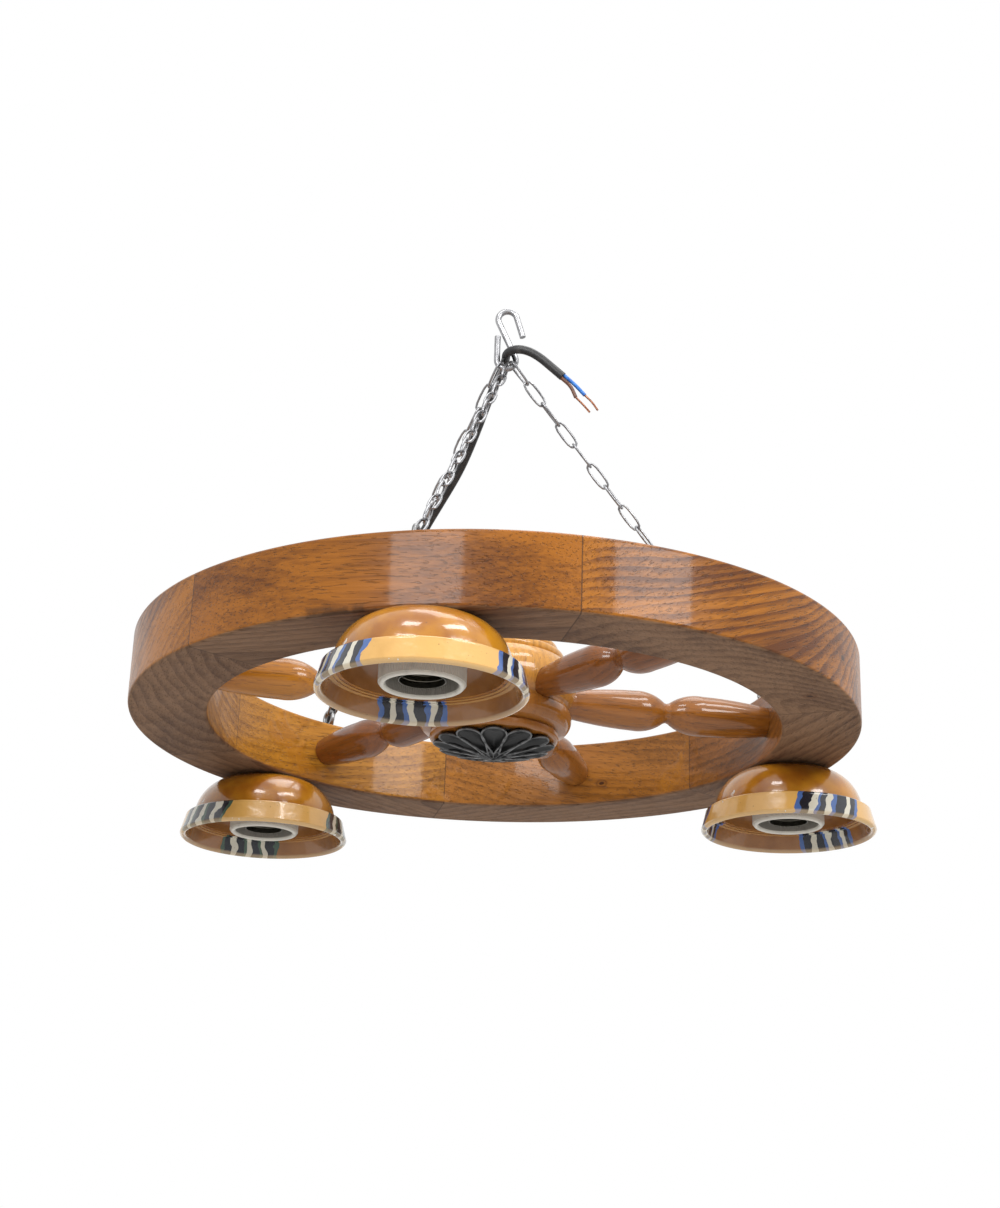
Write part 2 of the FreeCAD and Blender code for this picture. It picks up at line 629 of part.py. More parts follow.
span = (upper_centre - lower_centre).Length
stem_tilt = math.degrees(math.asin((upper_bend + lower_bend) / span))
flare = mm("hook_flare")
tip_start = bend_point(upper_centre, upper_bend, flare)
tip_way = Vector(math.sin(math.radians(flare)), 0, -math.cos(math.radians(flare)))
stem_top = bend_point(upper_centre, upper_bend, 180 + stem_tilt)
stem_foot = bend_point(lower_centre, lower_bend, stem_tilt)
leg_start = bend_point(lower_centre, lower_bend, -180)
s_hook = wire_sweep([
    straight(tip_start + tip_way * mm("hook_tip"), tip_start),
    bend_arc(upper_centre, upper_bend, flare, 180 + stem_tilt),
    straight(stem_top, stem_foot),
    bend_arc(lower_centre, lower_bend, stem_tilt, -180),
    straight(leg_start, leg_start + AXIS_Z * mm("hook_leg"))], mm("hook_wire"))
pieces.append(computed("s_hook", s_hook))

# ---------------------------------------------------------------- eye screws and chains

SIDES = 6
LINK_PITCH = 19.1
LINK_GAP = 0.15
# where each chain's first link sits on the lower bend, from its lowest point towards +X
HOOK_SEATS = {"right": 50.0, "near_left": 1.0, "rear_left": -44.0}


def mitred_ring(centreline, normal, radius):
    """Closed link of many-sided wire round a flat polygon, mitred at its corners."""
    count = len(centreline)
    rings = []
    for index, corner in enumerate(centreline):
        into = (corner - centreline[index - 1]).normalize()
        out = (centreline[(index + 1) % count] - corner).normalize()
        outward = (into - out).normalize()
        reach = 1 / math.sqrt((1 + into.dot(out)) / 2)
        ring = []
        for k in range(SIDES):
            angle = 2 * math.pi * (k + 0.5) / SIDES
            ring.append(corner + outward * (radius * reach * math.cos(angle))
                        + normal * (radius * math.sin(angle)))
        rings.append(ring)
    faces = []
    for index in range(count):
        near, far = rings[index], rings[(index + 1) % count]
        for k in range(SIDES):
            m = (k + 1) % SIDES
            faces.append(Part.Face(Part.makePolygon([near[k], near[m], far[m], far[k], near[k]])))
    solid = Part.Solid(Part.Shell(faces))
    if solid.Volume < 0:
        solid.reverse()
    return solid


def chain_link(centre, along, across, pitch, top_width):
    """One link: along points to its upper end, across is its width."""
    wire = mm("chain_wire")
    centreline = []
    for end, width in ((1, top_width), (-1, mm("chain_width"))):
        bend = width / 2 - wire
        middle = pitch / 2 + wire - bend
        for step in range(4):
            angle = math.radians(22.5 + 45.0 * step)
            reach = bend / math.cos(math.radians(22.5))
            centreline.append(centre + along * (end * (middle + reach * math.sin(angle)))
                              + across * (end * reach * math.cos(angle)))
    return mitred_ring(centreline, along.cross(across), wire)


def angle_about(axis, start, stop):
    """Signed angle from start to stop about an axis, in degrees."""
    return math.degrees(math.atan2(start.cross(stop).dot(axis), start.dot(stop)))


chain_lines = {}
for name, azimuth in EYES.items():
    tangent = turn(azimuth).multVec(AXIS_Y)
    ring_centre = polar(mm("eye_circle"), azimuth,
                        rim_top + mm("eye_neck") + mm("eye_ring") + mm("eye_wire"))
    seat_angle = HOOK_SEATS[name]
    hook_seat = bend_point(lower_centre, lower_bend, seat_angle - 90)
    hook_tangent = Vector(math.cos(math.radians(seat_angle)), 0, math.sin(math.radians(seat_angle)))
    eye_seat = ring_centre + (hook_seat - ring_centre).normalize() * mm("eye_ring")
    down = (eye_seat - hook_seat).normalize()
    reach = ((eye_seat - hook_seat).Length + mm("hook_wire") + mm("eye_wire")
             + mm("seat_clearance") + mm("slide_clearance"))
    chain_lines[name] = (hook_seat, down, (eye_seat - hook_seat).Length)
    links = round(reach / LINK_PITCH)
    # near its hook seat a link lies square to the hook's wire, so an odd quarter turn drops a link
    width_top = hook_tangent.cross(down).normalize()
    across = (tangent - down * tangent.dot(down)).normalize()
    twist = angle_about(down, across, width_top)
    pitch = (reach + (links - 1) * LINK_GAP) / links
    quarter = 90.0 * (links - 1)
    spare = (twist - quarter + 90.0) % 180.0 - 90.0
    step_angle = (quarter + spare) / (links - 1)
    chain = []
    for index in range(links):
        centre = (eye_seat + down * (mm("eye_wire") + mm("seat_clearance"))
                  - down * (pitch / 2 + index * (pitch - LINK_GAP)))
        width = Rotation(down, step_angle * index).multVec(across)
        top_width = mm("hook_link_width") if index == links - 1 else mm("chain_width")
        chain.append(chain_link(centre, -down, width, pitch, top_width))
    pieces.append(computed("chain_" + name, Part.makeCompound(chain)))
    print("chain_%s: %d links, pitch %.2f mm, twist %.1f degrees a joint"
          % (name, links, pitch, spare / (links - 1)))
    # ring, neck, collar and pointed shank
    eye = Part.makeTorus(mm("eye_ring"), mm("eye_wire"), ring_centre, tangent)
    neck_foot = ring_centre - AXIS_Z * (mm("eye_neck") + mm("eye_ring") + mm("eye_wire"))
    eye = eye.fuse(Part.makeCylinder(mm("eye_wire"), mm("eye_neck") + mm("eye_wire"), neck_foot))
    eye = eye.fuse(Part.makeCylinder(mm("eye_wire") + 1.2, 1.0, neck_foot))
    eye = eye.fuse(Part.makeCylinder(mm("eye_shank"), mm("eye_grip") - 4.0, neck_foot, -AXIS_Z))
    eye = eye.fuse(Part.makeCone(mm("eye_shank"), 0.4, 4.0,
                                 neck_foot - AXIS_Z * (mm("eye_grip") - 4.0), -AXIS_Z))
    pieces.append(computed("eye_screw_" + name, eye))

# ---------------------------------------------------------------- mains cable

cable_start = polar(mm("lamp_circle"), CABLE_AZIMUTH,
                    lead_level + sleeve_out + mm("seat_clearance"))
chain_top, chain_down, chain_length = chain_lines["rear_left"]
behind = (AXIS_Y - chain_down * chain_down.y).normalize()
aside = chain_down.cross(behind)
# up behind the rear left chain: share of the chain's length from the hook, behind it, beside it
BESIDE_CHAIN = [(0.935, 11.5, -3.5), (0.805, 9.6, -1.0), (0.625, 9.3, -0.6), (0.477, 9.3, 0.2),
                (0.378, 9.4, 3.0), (0.280, 9.8, 5.6), (0.171, 9.6, 3.8), (0.079, 10.2, 0.8)]
# over the links in the S-hook's lower bend, round its stem and down, from the bend's centre
THROUGH_HOOK = [(-0.4, 6.3, 2.5), (-0.4, -6.2, 2.7), (6.3, -11.6, 3.6), (14.8, -13.2, 2.0),
                (23.6, -13.8, -3.0), (32.9, -14.0, -11.3), (41.65, -14.0, -19.2)]
cable_route = [cable_start, cable_start + AXIS_Z * 24.0]
cable_route += [chain_top + chain_down * (share * chain_length) + behind * back + aside * side
                for share, back, side in BESIDE_CHAIN]
cable_route += [lower_centre + Vector(*step) for step in THROUGH_HOOK]
sheath_end = cable_route[-1]
sheath_way = (sheath_end - cable_route[-2]).normalize()
core_side = sheath_way.cross(AXIS_Y) * (mm("core_wire_radius") + 0.1)
# each core starts at the end of the sheath and each copper wire at the end of its core
brown_start = sheath_end + sheath_way * 0.1 - core_side
blue_start = sheath_end + sheath_way * 0.1 + core_side
brown_end, blue_end = sheath_end + Vector(9.8, 0, -16.45), sheath_end + Vector(16.4, 0, -14.55)
brown_route = [brown_start, brown_start + sheath_way * 9.5, brown_end]
blue_route = [blue_start, blue_start + sheath_way * 11.0, blue_end]
brown_copper = [brown_end + Vector(*step) for step in (
    (0.25, 0, -0.26), (5.45, 0, -5.65), (10.4, 0, -11.7))]
blue_copper = [blue_end + Vector(*step) for step in (
    (0.16, 0, -0.16), (5.35, 0, -5.25), (9.6, 0, -11.8))]


def cord(name, route, radius):
    """Tube along a route: straight runs joined by arcs as large as the runs allow."""
    path, here, radii = [], route[0], []
    for before, corner, after in zip(route, route[1:], route[2:]):
        into, out = corner - before, after - corner
        half_turn = into.getAngle(out) / 2
        trim = 0.45 * min(into.Length, out.Length)
        radii.append(trim / math.tan(half_turn))
        into.normalize()
        out.normalize()
        first, last = corner - into * trim, corner + out * trim
        inward = (out - into).normalize()
        bow = radii[-1] * (1 / math.cos(half_turn) - 1)
        path.append(straight(here, first))
        path.append(Part.Arc(first, corner + inward * bow, last).toShape())
        here = last
    path.append(straight(here, route[-1]))
    length = sum(edge.Length for edge in path)
    tube = wire_sweep(path, radius)
    print("%s: length %.1f mm, radii %s mm, volume over section times length %.4f" % (
        name, length, " ".join("%.0f" % r for r in radii),
        tube.Volume / (math.pi * radius ** 2 * length)))
    return tube


pieces.append(computed("mains_cable", cord("mains_cable", cable_route, mm("cable_radius"))))
pieces.append(computed("core_brown", cord("core_brown", brown_route, mm("core_wire_radius"))))
pieces.append(computed("core_blue", cord("core_blue", blue_route, mm("core_wire_radius"))))
pieces.append(computed("copper_ends", Part.makeCompound([
    cord("brown copper", brown_copper, mm("copper_radius")),
    cord("blue copper", blue_copper, mm("copper_radius"))])))

# ---------------------------------------------------------------- check and write

doc.recompute()
for thing in doc.Objects:
    if "Invalid" in thing.State or "Error" in thing.State:
        raise RuntimeError("%s failed: %s" % (thing.Label, thing.State))
os.makedirs("parts", exist_ok=True)
for piece in pieces:
    shape = piece.Shape
    if shape.isNull() or not shape.isValid():
        raise RuntimeError("bad shape: " + piece.Label)
    shape.exportStep("parts/%s.step" % piece.Label)
print("%d sub-parts, %d solids" % (len(pieces), sum(len(p.Shape.Solids) for p in pieces)))
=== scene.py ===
# Wagon wheel chandelier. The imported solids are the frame, and this script dresses them. Metres, +Z
# up, the origin is the seat in the top of the S-hook, and the front faces -Y.
import math

import bpy
from mathutils import Matrix, Vector


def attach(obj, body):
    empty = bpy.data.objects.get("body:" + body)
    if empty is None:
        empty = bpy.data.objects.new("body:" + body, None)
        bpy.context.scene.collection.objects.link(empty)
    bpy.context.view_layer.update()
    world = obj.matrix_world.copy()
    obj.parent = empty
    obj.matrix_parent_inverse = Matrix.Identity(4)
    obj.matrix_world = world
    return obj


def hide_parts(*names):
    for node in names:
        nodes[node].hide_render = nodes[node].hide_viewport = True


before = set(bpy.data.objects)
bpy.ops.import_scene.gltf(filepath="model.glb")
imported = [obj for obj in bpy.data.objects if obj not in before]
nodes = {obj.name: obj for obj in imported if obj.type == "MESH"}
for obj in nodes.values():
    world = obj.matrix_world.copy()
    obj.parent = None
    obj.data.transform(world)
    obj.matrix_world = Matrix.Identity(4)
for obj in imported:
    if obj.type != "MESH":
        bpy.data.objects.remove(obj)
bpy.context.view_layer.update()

# ---------------------------------------------------------------- camera
# The photograph was taken from below and in front of the lamp, looking up by 20.5 degrees with a
# slight roll, with a lens long enough to keep the rim's ellipse calm.
LENS, SENSOR = 57.83, 36.0
CAMERA_PLACE = Vector((0.0, -1.28663, -0.71313))
PITCH, YAW, ROLL = 0.35794, 0.00090, 0.03254

ahead = Vector((math.sin(YAW) * math.cos(PITCH), math.cos(YAW) * math.cos(PITCH), math.sin(PITCH)))
level = ahead.cross(Vector((0, 0, 1))).normalized()
lift = level.cross(ahead)
right = level * math.cos(ROLL) + lift * math.sin(ROLL)
top = lift * math.cos(ROLL) - level * math.sin(ROLL)
camera_data = bpy.data.cameras.new("camera")
camera_data.lens = LENS
camera_data.sensor_width = SENSOR
camera = bpy.data.objects.new("camera", camera_data)
bpy.context.scene.collection.objects.link(camera)
turned = Matrix((right, top, -ahead)).transposed().to_4x4()
camera.matrix_world = Matrix.Translation(CAMERA_PLACE) @ turned
bpy.context.scene.camera = camera

# ---------------------------------------------------------------- mains cable
# Round black rubber cable. It comes out of the rim behind the rear left screw eye, follows that
# chain up, goes over the links in the S-hook and hangs free in front, with its sheath cut back.
CABLE_RADIUS = 0.0032
CABLE_ROUTE = [
    (-0.13083, 0.18477, -0.28250), (-0.13083, 0.18477, -0.25850), (-0.11968, 0.16792, -0.24232),
    (-0.10204, 0.14432, -0.21582), (-0.07965, 0.11359, -0.17651), (-0.06077, 0.08852, -0.14429),
    (-0.04613, 0.07183, -0.12380), (-0.03171, 0.05556, -0.10328), (-0.01995, 0.03693, -0.07848),
    (-0.01110, 0.02185, -0.05646), (-0.00040, 0.00630, -0.03610), (-0.00040, -0.00620, -0.03590),
    (0.00630, -0.01160, -0.03500), (0.01480, -0.01320, -0.03660), (0.02360, -0.01380, -0.04160),
    (0.03290, -0.01400, -0.04990), (0.04165, -0.01400, -0.05780)
]


def put(tree, kind, inputs=(), **settings):
    """Adds a shader node. inputs maps a socket's name or number to a value or to another socket."""
    made = tree.nodes.new("ShaderNode" + kind)
    for setting, value in settings.items():
        setattr(made, setting, value)
    for key, value in dict(inputs).items():
        if isinstance(value, bpy.types.NodeSocket):
            tree.links.new(value, made.inputs[key])
        else:
            made.inputs[key].default_value = value
    return made


def calc(tree, operation, first, second=0.0, third=0.0):
    return put(tree, "Math", {0: first, 1: second, 2: third}, operation=operation).outputs[0]


def mask(tree, value, low, high):
    """0 below low, 1 above high, smooth between; low may be the larger."""
    return put(tree, "MapRange", {0: value, 1: low, 2: high, 3: 0.0, 4: 1.0},
               interpolation_type="SMOOTHSTEP").outputs[0]


def colour(red, green, blue):
    return (red, green, blue, 1.0)


def tint(tree, share, first, second):
    """First colour, turned towards the second by a share."""
    return put(tree, "Mix", {0: share, 6: first, 7: second}, data_type="RGBA").outputs[2]


def noise(tree, vector, scale, detail=2.0, roughness=0.5):
    return put(tree, "TexNoise", {"Vector": vector, "Scale": scale, "Detail": detail,
                                  "Roughness": roughness}).outputs["Fac"]


def surface(title, metallic=0.0, **sockets):
    """New material: returns it, its node tree, its shader and its object coordinates."""
    material = bpy.data.materials.new(title)
    material.use_nodes = True
    tree = material.node_tree
    shader = tree.nodes["Principled BSDF"]
    shader.inputs["Metallic"].default_value = metallic
    for socket, value in sockets.items():
        shader.inputs[socket.replace("_", " ")].default_value = value
    place = put(tree, "TexCoord").outputs["Object"]
    return material, tree, shader, place


def relief(tree, shader, height, distance, strength=0.6):
    bump = put(tree, "Bump", {"Height": height, "Distance": distance, "Strength": strength})
    tree.links.new(bump.outputs["Normal"], shader.inputs["Normal"])


def dress(names, material):
    """Gives CAD nodes or pieces one material in place of their own."""
    for name in names:
        piece = nodes[name] if name in nodes else bpy.data.objects[name]
        piece.data.materials.clear()
        piece.data.materials.append(material)


spline_data = bpy.data.curves.new("mains_cable_sheath", "CURVE")
spline_data.dimensions = "3D"
spline = spline_data.splines.new("NURBS")
spline.points.add(len(CABLE_ROUTE) - 1)
for point, place in zip(spline.points, CABLE_ROUTE):
    point.co = (*place, 1.0)
spline.order_u = 3
spline.use_endpoint_u = True
spline.resolution_u = 12
spline_data.bevel_depth = CABLE_RADIUS
spline_data.bevel_resolution = 6
spline_data.use_fill_caps = True
cable = bpy.data.objects.new("mains_cable_sheath", spline_data)
bpy.context.scene.collection.objects.link(cable)

rubber, tree, shader, place = surface("black cable sheath", Roughness=0.42, IOR=1.5)
dust = noise(tree, place, 160.0, 4.0, 0.6)
shade_of_black = tint(tree, mask(tree, dust, 0.45, 0.75), colour(0.018, 0.018, 0.019),
                      colour(0.050, 0.049, 0.047))
tree.links.new(shade_of_black, shader.inputs["Base Color"])
tree.links.new(calc(tree, "MULTIPLY_ADD", dust, 0.25, 0.30), shader.inputs["Roughness"])
relief(tree, shader, noise(tree, place, 900.0, 2.0), 0.0002, 0.3)
spline_data.materials.append(rubber)
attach(cable, "lamp")
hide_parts("mains_cable")

# ---------------------------------------------------------------- cores and copper ends
# Two insulated cores stick out of the cut sheath, brown and blue, each stripped to a twist of
# fine copper strands.


def core_finish(title, dark, light):
    material, tree, shader, place = surface(title, Roughness=0.38)
    scuff = noise(tree, place, 420.0, 3.0)
    tree.links.new(tint(tree, mask(tree, scuff, 0.35, 0.7), dark, light),
                   shader.inputs["Base Color"])
    tree.links.new(calc(tree, "MULTIPLY_ADD", scuff, 0.2, 0.28), shader.inputs["Roughness"])
    return material


dress(["core_brown"], core_finish("brown core", colour(0.100, 0.034, 0.014),
                                  colour(0.170, 0.062, 0.026)))
dress(["core_blue"], core_finish("blue core", colour(0.012, 0.120, 0.480),
                                 colour(0.030, 0.210, 0.640)))
copper, tree, shader, place = surface("stripped copper", metallic=1.0, Roughness=0.35)
strands = put(tree, "TexWave", {
    "Vector": put(tree, "Mapping", {"Vector": place, "Rotation": (0.0, 0.75, 0.0)}).outputs[0],
    "Scale": 420.0, "Distortion": 1.5, "Detail": 1.0}, bands_direction="X").outputs["Fac"]
tree.links.new(tint(tree, strands, colour(0.16, 0.055, 0.028), colour(0.42, 0.19, 0.11)),
               shader.inputs["Base Color"])
relief(tree, shader, strands, 0.0003, 0.8)
dress(["copper_ends"], copper)

# ---------------------------------------------------------------- felloes of the rim
# Six pieces sawn from oak planks and glued end to end, varnished on the walls. The grain runs along
# each felloe, the underside is rougher and greyer, and the inner wall is golden.
FELLOES = 6
FIRST_FELLOE = 11.0
RIM_BOTTOM, RIM_OUTER = -0.3276, 0.250
GLUE_FROM, GLUE_FULL = math.radians(29.86), math.radians(29.95)
WALL_RINGS, UNDER_RINGS, HOLLOW_RINGS = 60.0, 52.0, 48.0
# tone of each felloe's outer wall and inner wall, from pale to dark, how far its rings lean and how
# plainly they show
FELLOE_TONES = [0.45, 0.30, 0.35, 0.30, 0.55, 0.40]
HOLLOW_TONES = [0.85, 0.70, 0.20, 0.10, 0.50, 0.50]
FELLOE_LEANS = [0.10, -0.20, 0.15, -0.30, 0.06, -0.40]
FELLOE_RINGS = [0.25, 0.25, 0.30, 0.40, 0.16, 0.62]


def shader_group(title, inputs, outputs):
    """Empty node group with its sockets: returns the group, its inputs and its outputs."""
    group = bpy.data.node_groups.new(title, "ShaderNodeTree")
    for name, kind, value in inputs:
        socket = group.interface.new_socket(name, in_out="INPUT", socket_type="NodeSocket" + kind)
        if value is not None:
            socket.default_value = value
    for name, kind in outputs:
        group.interface.new_socket(name, in_out="OUTPUT", socket_type="NodeSocket" + kind)
    return (group, group.nodes.new("NodeGroupInput").outputs,
            group.nodes.new("NodeGroupOutput").inputs)


def feed(group, socket, value):
    group.links.new(value, socket)


# Grain along Y: growth rings about a line along Y, drawn-out fibres, dark pores and wide patches.
grain, given, gives = shader_group(
    "wood grain",
    [("Vector", "Vector", None), ("Light", "Color", colour(0.4, 0.2, 0.08)),
     ("Dark", "Color", colour(0.15, 0.06, 0.02)), ("Rings", "Float", 34.0),
     ("Figure", "Float", 0.012), ("Patches", "Float", 0.5), ("Contrast", "Float", 0.4)],
    [("Color", "Color"), ("Height", "Float")])
drawn = put(grain, "VectorMath", {0: given["Vector"], 1: (1.0, 0.16, 1.0)}, operation="MULTIPLY")
sway = put(grain, "TexNoise", {"Vector": drawn.outputs[0], "Scale": 22.0, "Detail": 2.0})
centred = put(grain, "VectorMath", {0: sway.outputs["Color"], 1: (0.5, 0.5, 0.5)},
              operation="SUBTRACT")
pushed = put(grain, "VectorMath", {0: centred.outputs[0], "Scale": given["Figure"]},
             operation="SCALE")
bent = put(grain, "VectorMath", {0: drawn.outputs[0], 1: pushed.outputs[0]}, operation="ADD")
rings = put(grain, "TexWave", {"Vector": bent.outputs[0], "Scale": given["Rings"],
                               "Distortion": 1.2, "Detail": 2.0, "Detail Scale": 1.5},
            wave_type="RINGS", rings_direction="Y", wave_profile="SAW").outputs["Fac"]
long_fibres = put(grain, "VectorMath", {0: given["Vector"], 1: (520.0, 14.0, 520.0)},
                  operation="MULTIPLY").outputs[0]
fibre = noise(grain, long_fibres, 1.0, 3.0, 0.6)
short_pores = put(grain, "VectorMath", {0: given["Vector"], 1: (1100.0, 60.0, 1100.0)},
                  operation="MULTIPLY").outputs[0]
pores = mask(grain, noise(grain, short_pores, 1.0, 1.0), 0.60, 0.70)
patches = mask(grain, noise(grain, drawn.outputs[0], 26.0, 3.0, 0.55), 0.30, 0.70)
late = mask(grain, rings, 0.25, 0.95)
tone = calc(grain, "ADD", calc(grain, "MULTIPLY", late, given["Contrast"]),
            calc(grain, "MULTIPLY", mask(grain, fibre, 0.30, 0.72), 0.42))
tone = calc(grain, "ADD", tone, calc(grain, "MULTIPLY", calc(
    grain, "SUBTRACT", patches, 0.5), given["Patches"]))
body_colour = tint(grain, calc(grain, "MINIMUM", calc(grain, "MAXIMUM", tone, 0.0), 1.0),
                   given["Light"], given["Dark"])
feed(grain, gives["Color"], tint(grain, calc(grain, "MULTIPLY", pores, 0.35), body_colour,
                                 colour(0.030, 0.014, 0.006)))
feed(grain, gives["Height"], calc(grain, "SUBTRACT", calc(grain, "MULTIPLY", fibre, 0.6), pores))


def grained(tree, vector, light, dark, rings, figure, patches=0.8, contrast=0.3):
    """The grain group in a material, with this wood's own values."""
    made = tree.nodes.new("ShaderNodeGroup")
    made.node_tree = grain
    tree.links.new(vector, made.inputs["Vector"])
    for name, value in (("Light", light), ("Dark", dark), ("Rings", rings),
                        ("Figure", figure), ("Patches", patches), ("Contrast", contrast)):
        made.inputs[name].default_value = value
    return made.outputs


def far_from_axis(tree, place):
    """Distance of a point from the wheel's axis."""
    flat = put(tree, "VectorMath", {0: place, 1: (1.0, 1.0, 0.0)}, operation="MULTIPLY")
    return put(tree, "VectorMath", {0: flat.outputs[0]}, operation="LENGTH").outputs["Value"]


# knots on a felloe: middle of the knot and how far it reaches
KNOTS = {6: (((0.2207, -0.1174, -0.3050), 0.0062), ((0.2010, -0.1060, RIM_BOTTOM), 0.0045)),
         2: (((0.0850, 0.1770, -0.3120), 0.0050),)}
# bark left on the bottom edge of the near felloe, between two turns from its middle
BARK_FELLOE, BARK_START, BARK_END, BARK_FADE = 5, -0.16, 0.14, 0.06


def knotted(tree, place, shown, centre, reach):
    """Round knot: dark heart, two rings and a reddish halo."""
    away = put(tree, "VectorMath", {0: place, 1: centre}, operation="SUBTRACT").outputs[0]
    away = put(tree, "VectorMath", {0: away, 1: (1.0, 1.0, 1.5)}, operation="MULTIPLY").outputs[0]
    swirl = calc(tree, "MULTIPLY_ADD", noise(tree, place, 180.0, 2.0), 0.0030, -0.0015)
    gap = calc(tree, "ADD", swirl, put(tree, "VectorMath", {0: away},
                                       operation="LENGTH").outputs["Value"])
    halo = mask(tree, gap, reach * 1.5, reach * 0.6)
    rings = put(tree, "Math", {0: calc(tree, "MULTIPLY", gap, 9.0 / reach)},
                operation="SINE").outputs[0]
    heart = mask(tree, gap, reach * 0.55, reach * 0.35)
    shown = tint(tree, calc(tree, "MULTIPLY", halo, calc(tree, "MULTIPLY_ADD", rings, 0.25, 0.45)),
                 shown, colour(0.095, 0.030, 0.008))
    return tint(tree, calc(tree, "MULTIPLY", heart, 0.8), shown, colour(0.030, 0.012, 0.006))


def barked(tree, place, height, radius, turn, shown):
    """Patchy dark bark along the lower outer edge."""
    edge = calc(tree, "MULTIPLY", mask(tree, height, RIM_BOTTOM + 0.0065, RIM_BOTTOM + 0.0035),
                mask(tree, radius, RIM_OUTER - 0.004, RIM_OUTER - 0.002))
    stretch = calc(tree, "MULTIPLY", mask(tree, turn, BARK_START - BARK_FADE, BARK_START),
                   mask(tree, turn, BARK_END + BARK_FADE, BARK_END))
    edge = calc(tree, "MULTIPLY", calc(tree, "MULTIPLY", edge, stretch),
                mask(tree, noise(tree, place, 60.0, 4.0), 0.38, 0.52))
    return tint(tree, calc(tree, "MULTIPLY", edge, 0.60), shown, colour(0.020, 0.010, 0.006))


for number in range(FELLOES):
    azimuth = math.radians(FIRST_FELLOE + 60.0 * number)
    material, tree, shader, place = surface("varnished felloe %d" % (number + 1), IOR=1.45,
                                            Specular_IOR_Level=0.22, Coat_Roughness=0.08)
    along = put(tree, "Mapping", {"Vector": place, "Rotation": (0.0, 0.0, -azimuth)}).outputs[0]
    lean = put(tree, "Mapping", {
        "Vector": along, "Rotation": (FELLOE_LEANS[number], 0.0, 0.0),
        "Location": (-0.150 - 0.009 * number, 0.4 * number, 0.405 - 0.011 * number)}).outputs[0]
    dark_share, hollow_share = FELLOE_TONES[number], HOLLOW_TONES[number]
    wall = grained(tree, lean,
                   colour(0.44 - 0.17 * dark_share, 0.160 - 0.080 * dark_share, 0.009),
                   colour(0.130 - 0.05 * dark_share, 0.036 - 0.014 * dark_share, 0.003),
                   WALL_RINGS, 0.020, 1.1, FELLOE_RINGS[number])
    rough = grained(tree, lean, colour(0.225, 0.125, 0.068), colour(0.095, 0.047, 0.025),
                    UNDER_RINGS, 0.014, 0.6, 0.45)
    gold = grained(tree, lean,
                   colour(0.52 - 0.24 * hollow_share, 0.225 - 0.13 * hollow_share, 0.022),
                   colour(0.21 - 0.10 * hollow_share, 0.078 - 0.04 * hollow_share, 0.008),
                   HOLLOW_RINGS, 0.016, 0.9, 0.35)
    facing = put(tree, "SeparateXYZ", {0: put(tree, "NewGeometry").outputs["Normal"]}).outputs["Z"]
    under = mask(tree, facing, -0.35, -0.80)
    radius = far_from_axis(tree, place)
    hollow = calc(tree, "MULTIPLY", mask(tree, radius, 0.2010, 0.1990),
                  mask(tree, facing, -0.6, -0.3))
    shown = tint(tree, hollow, wall["Color"], gold["Color"])
    shown = tint(tree, under, shown, rough["Color"])
    # glue line at each end of the felloe
    spread = put(tree, "SeparateXYZ", {0: along}).outputs
    turn = calc(tree, "ARCTAN2", spread["Y"], spread["X"])
    angle = calc(tree, "ABSOLUTE", turn)
    glue = mask(tree, angle, GLUE_FROM, GLUE_FULL)
    shown = tint(tree, calc(tree, "MULTIPLY", glue, 0.70), shown, colour(0.030, 0.014, 0.007))
    # long lower outer edge turned paler in patches
    height = put(tree, "SeparateXYZ", {0: place}).outputs["Z"]
    near_foot = mask(tree, height, RIM_BOTTOM + 0.0035, RIM_BOTTOM + 0.0008)
    near_wall = mask(tree, radius, RIM_OUTER - 0.0032, RIM_OUTER - 0.0010)
    pale_edge = calc(tree, "MULTIPLY", calc(tree, "MULTIPLY", near_foot, near_wall),
               mask(tree, noise(tree, place, 90.0, 3.0), 0.42, 0.62))
    shown = tint(tree, calc(tree, "MULTIPLY", pale_edge, 0.12), shown, colour(0.45, 0.27, 0.13))
    for centre, reach in KNOTS.get(number + 1, ()):
        shown = knotted(tree, place, shown, centre, reach)
    if number + 1 == BARK_FELLOE:
        shown = barked(tree, place, height, radius, turn, shown)
    # varnish runs on the inner wall: glossy amber patches, thickest on the two rear felloes
    run = calc(tree, "MULTIPLY", hollow, mask(tree, noise(tree, place, 20.0, 3.0, 0.6), 0.56, 0.64))
    shown = tint(tree, calc(tree, "MULTIPLY", run, 0.6 if number in (1, 2) else 0.2), shown,
                 colour(0.400, 0.150, 0.012))
    tree.links.new(shown, shader.inputs["Base Color"])
    varnish = calc(tree, "SUBTRACT", 1.0, under)
    gloss = calc(tree, "MULTIPLY_ADD", noise(tree, place, 55.0, 4.0), 0.22, 0.25)
    tree.links.new(calc(tree, "ADD", gloss, calc(tree, "MULTIPLY", under, 0.28)),
                   shader.inputs["Roughness"])
    tree.links.new(calc(tree, "MULTIPLY", varnish, 0.20), shader.inputs["Coat Weight"])
    relief(tree, shader, calc(tree, "ADD", wall["Height"], calc(tree, "MULTIPLY", run, 2.0)),
           0.0006, 0.75)
    dress(["felloe_%d" % (number + 1)], material)

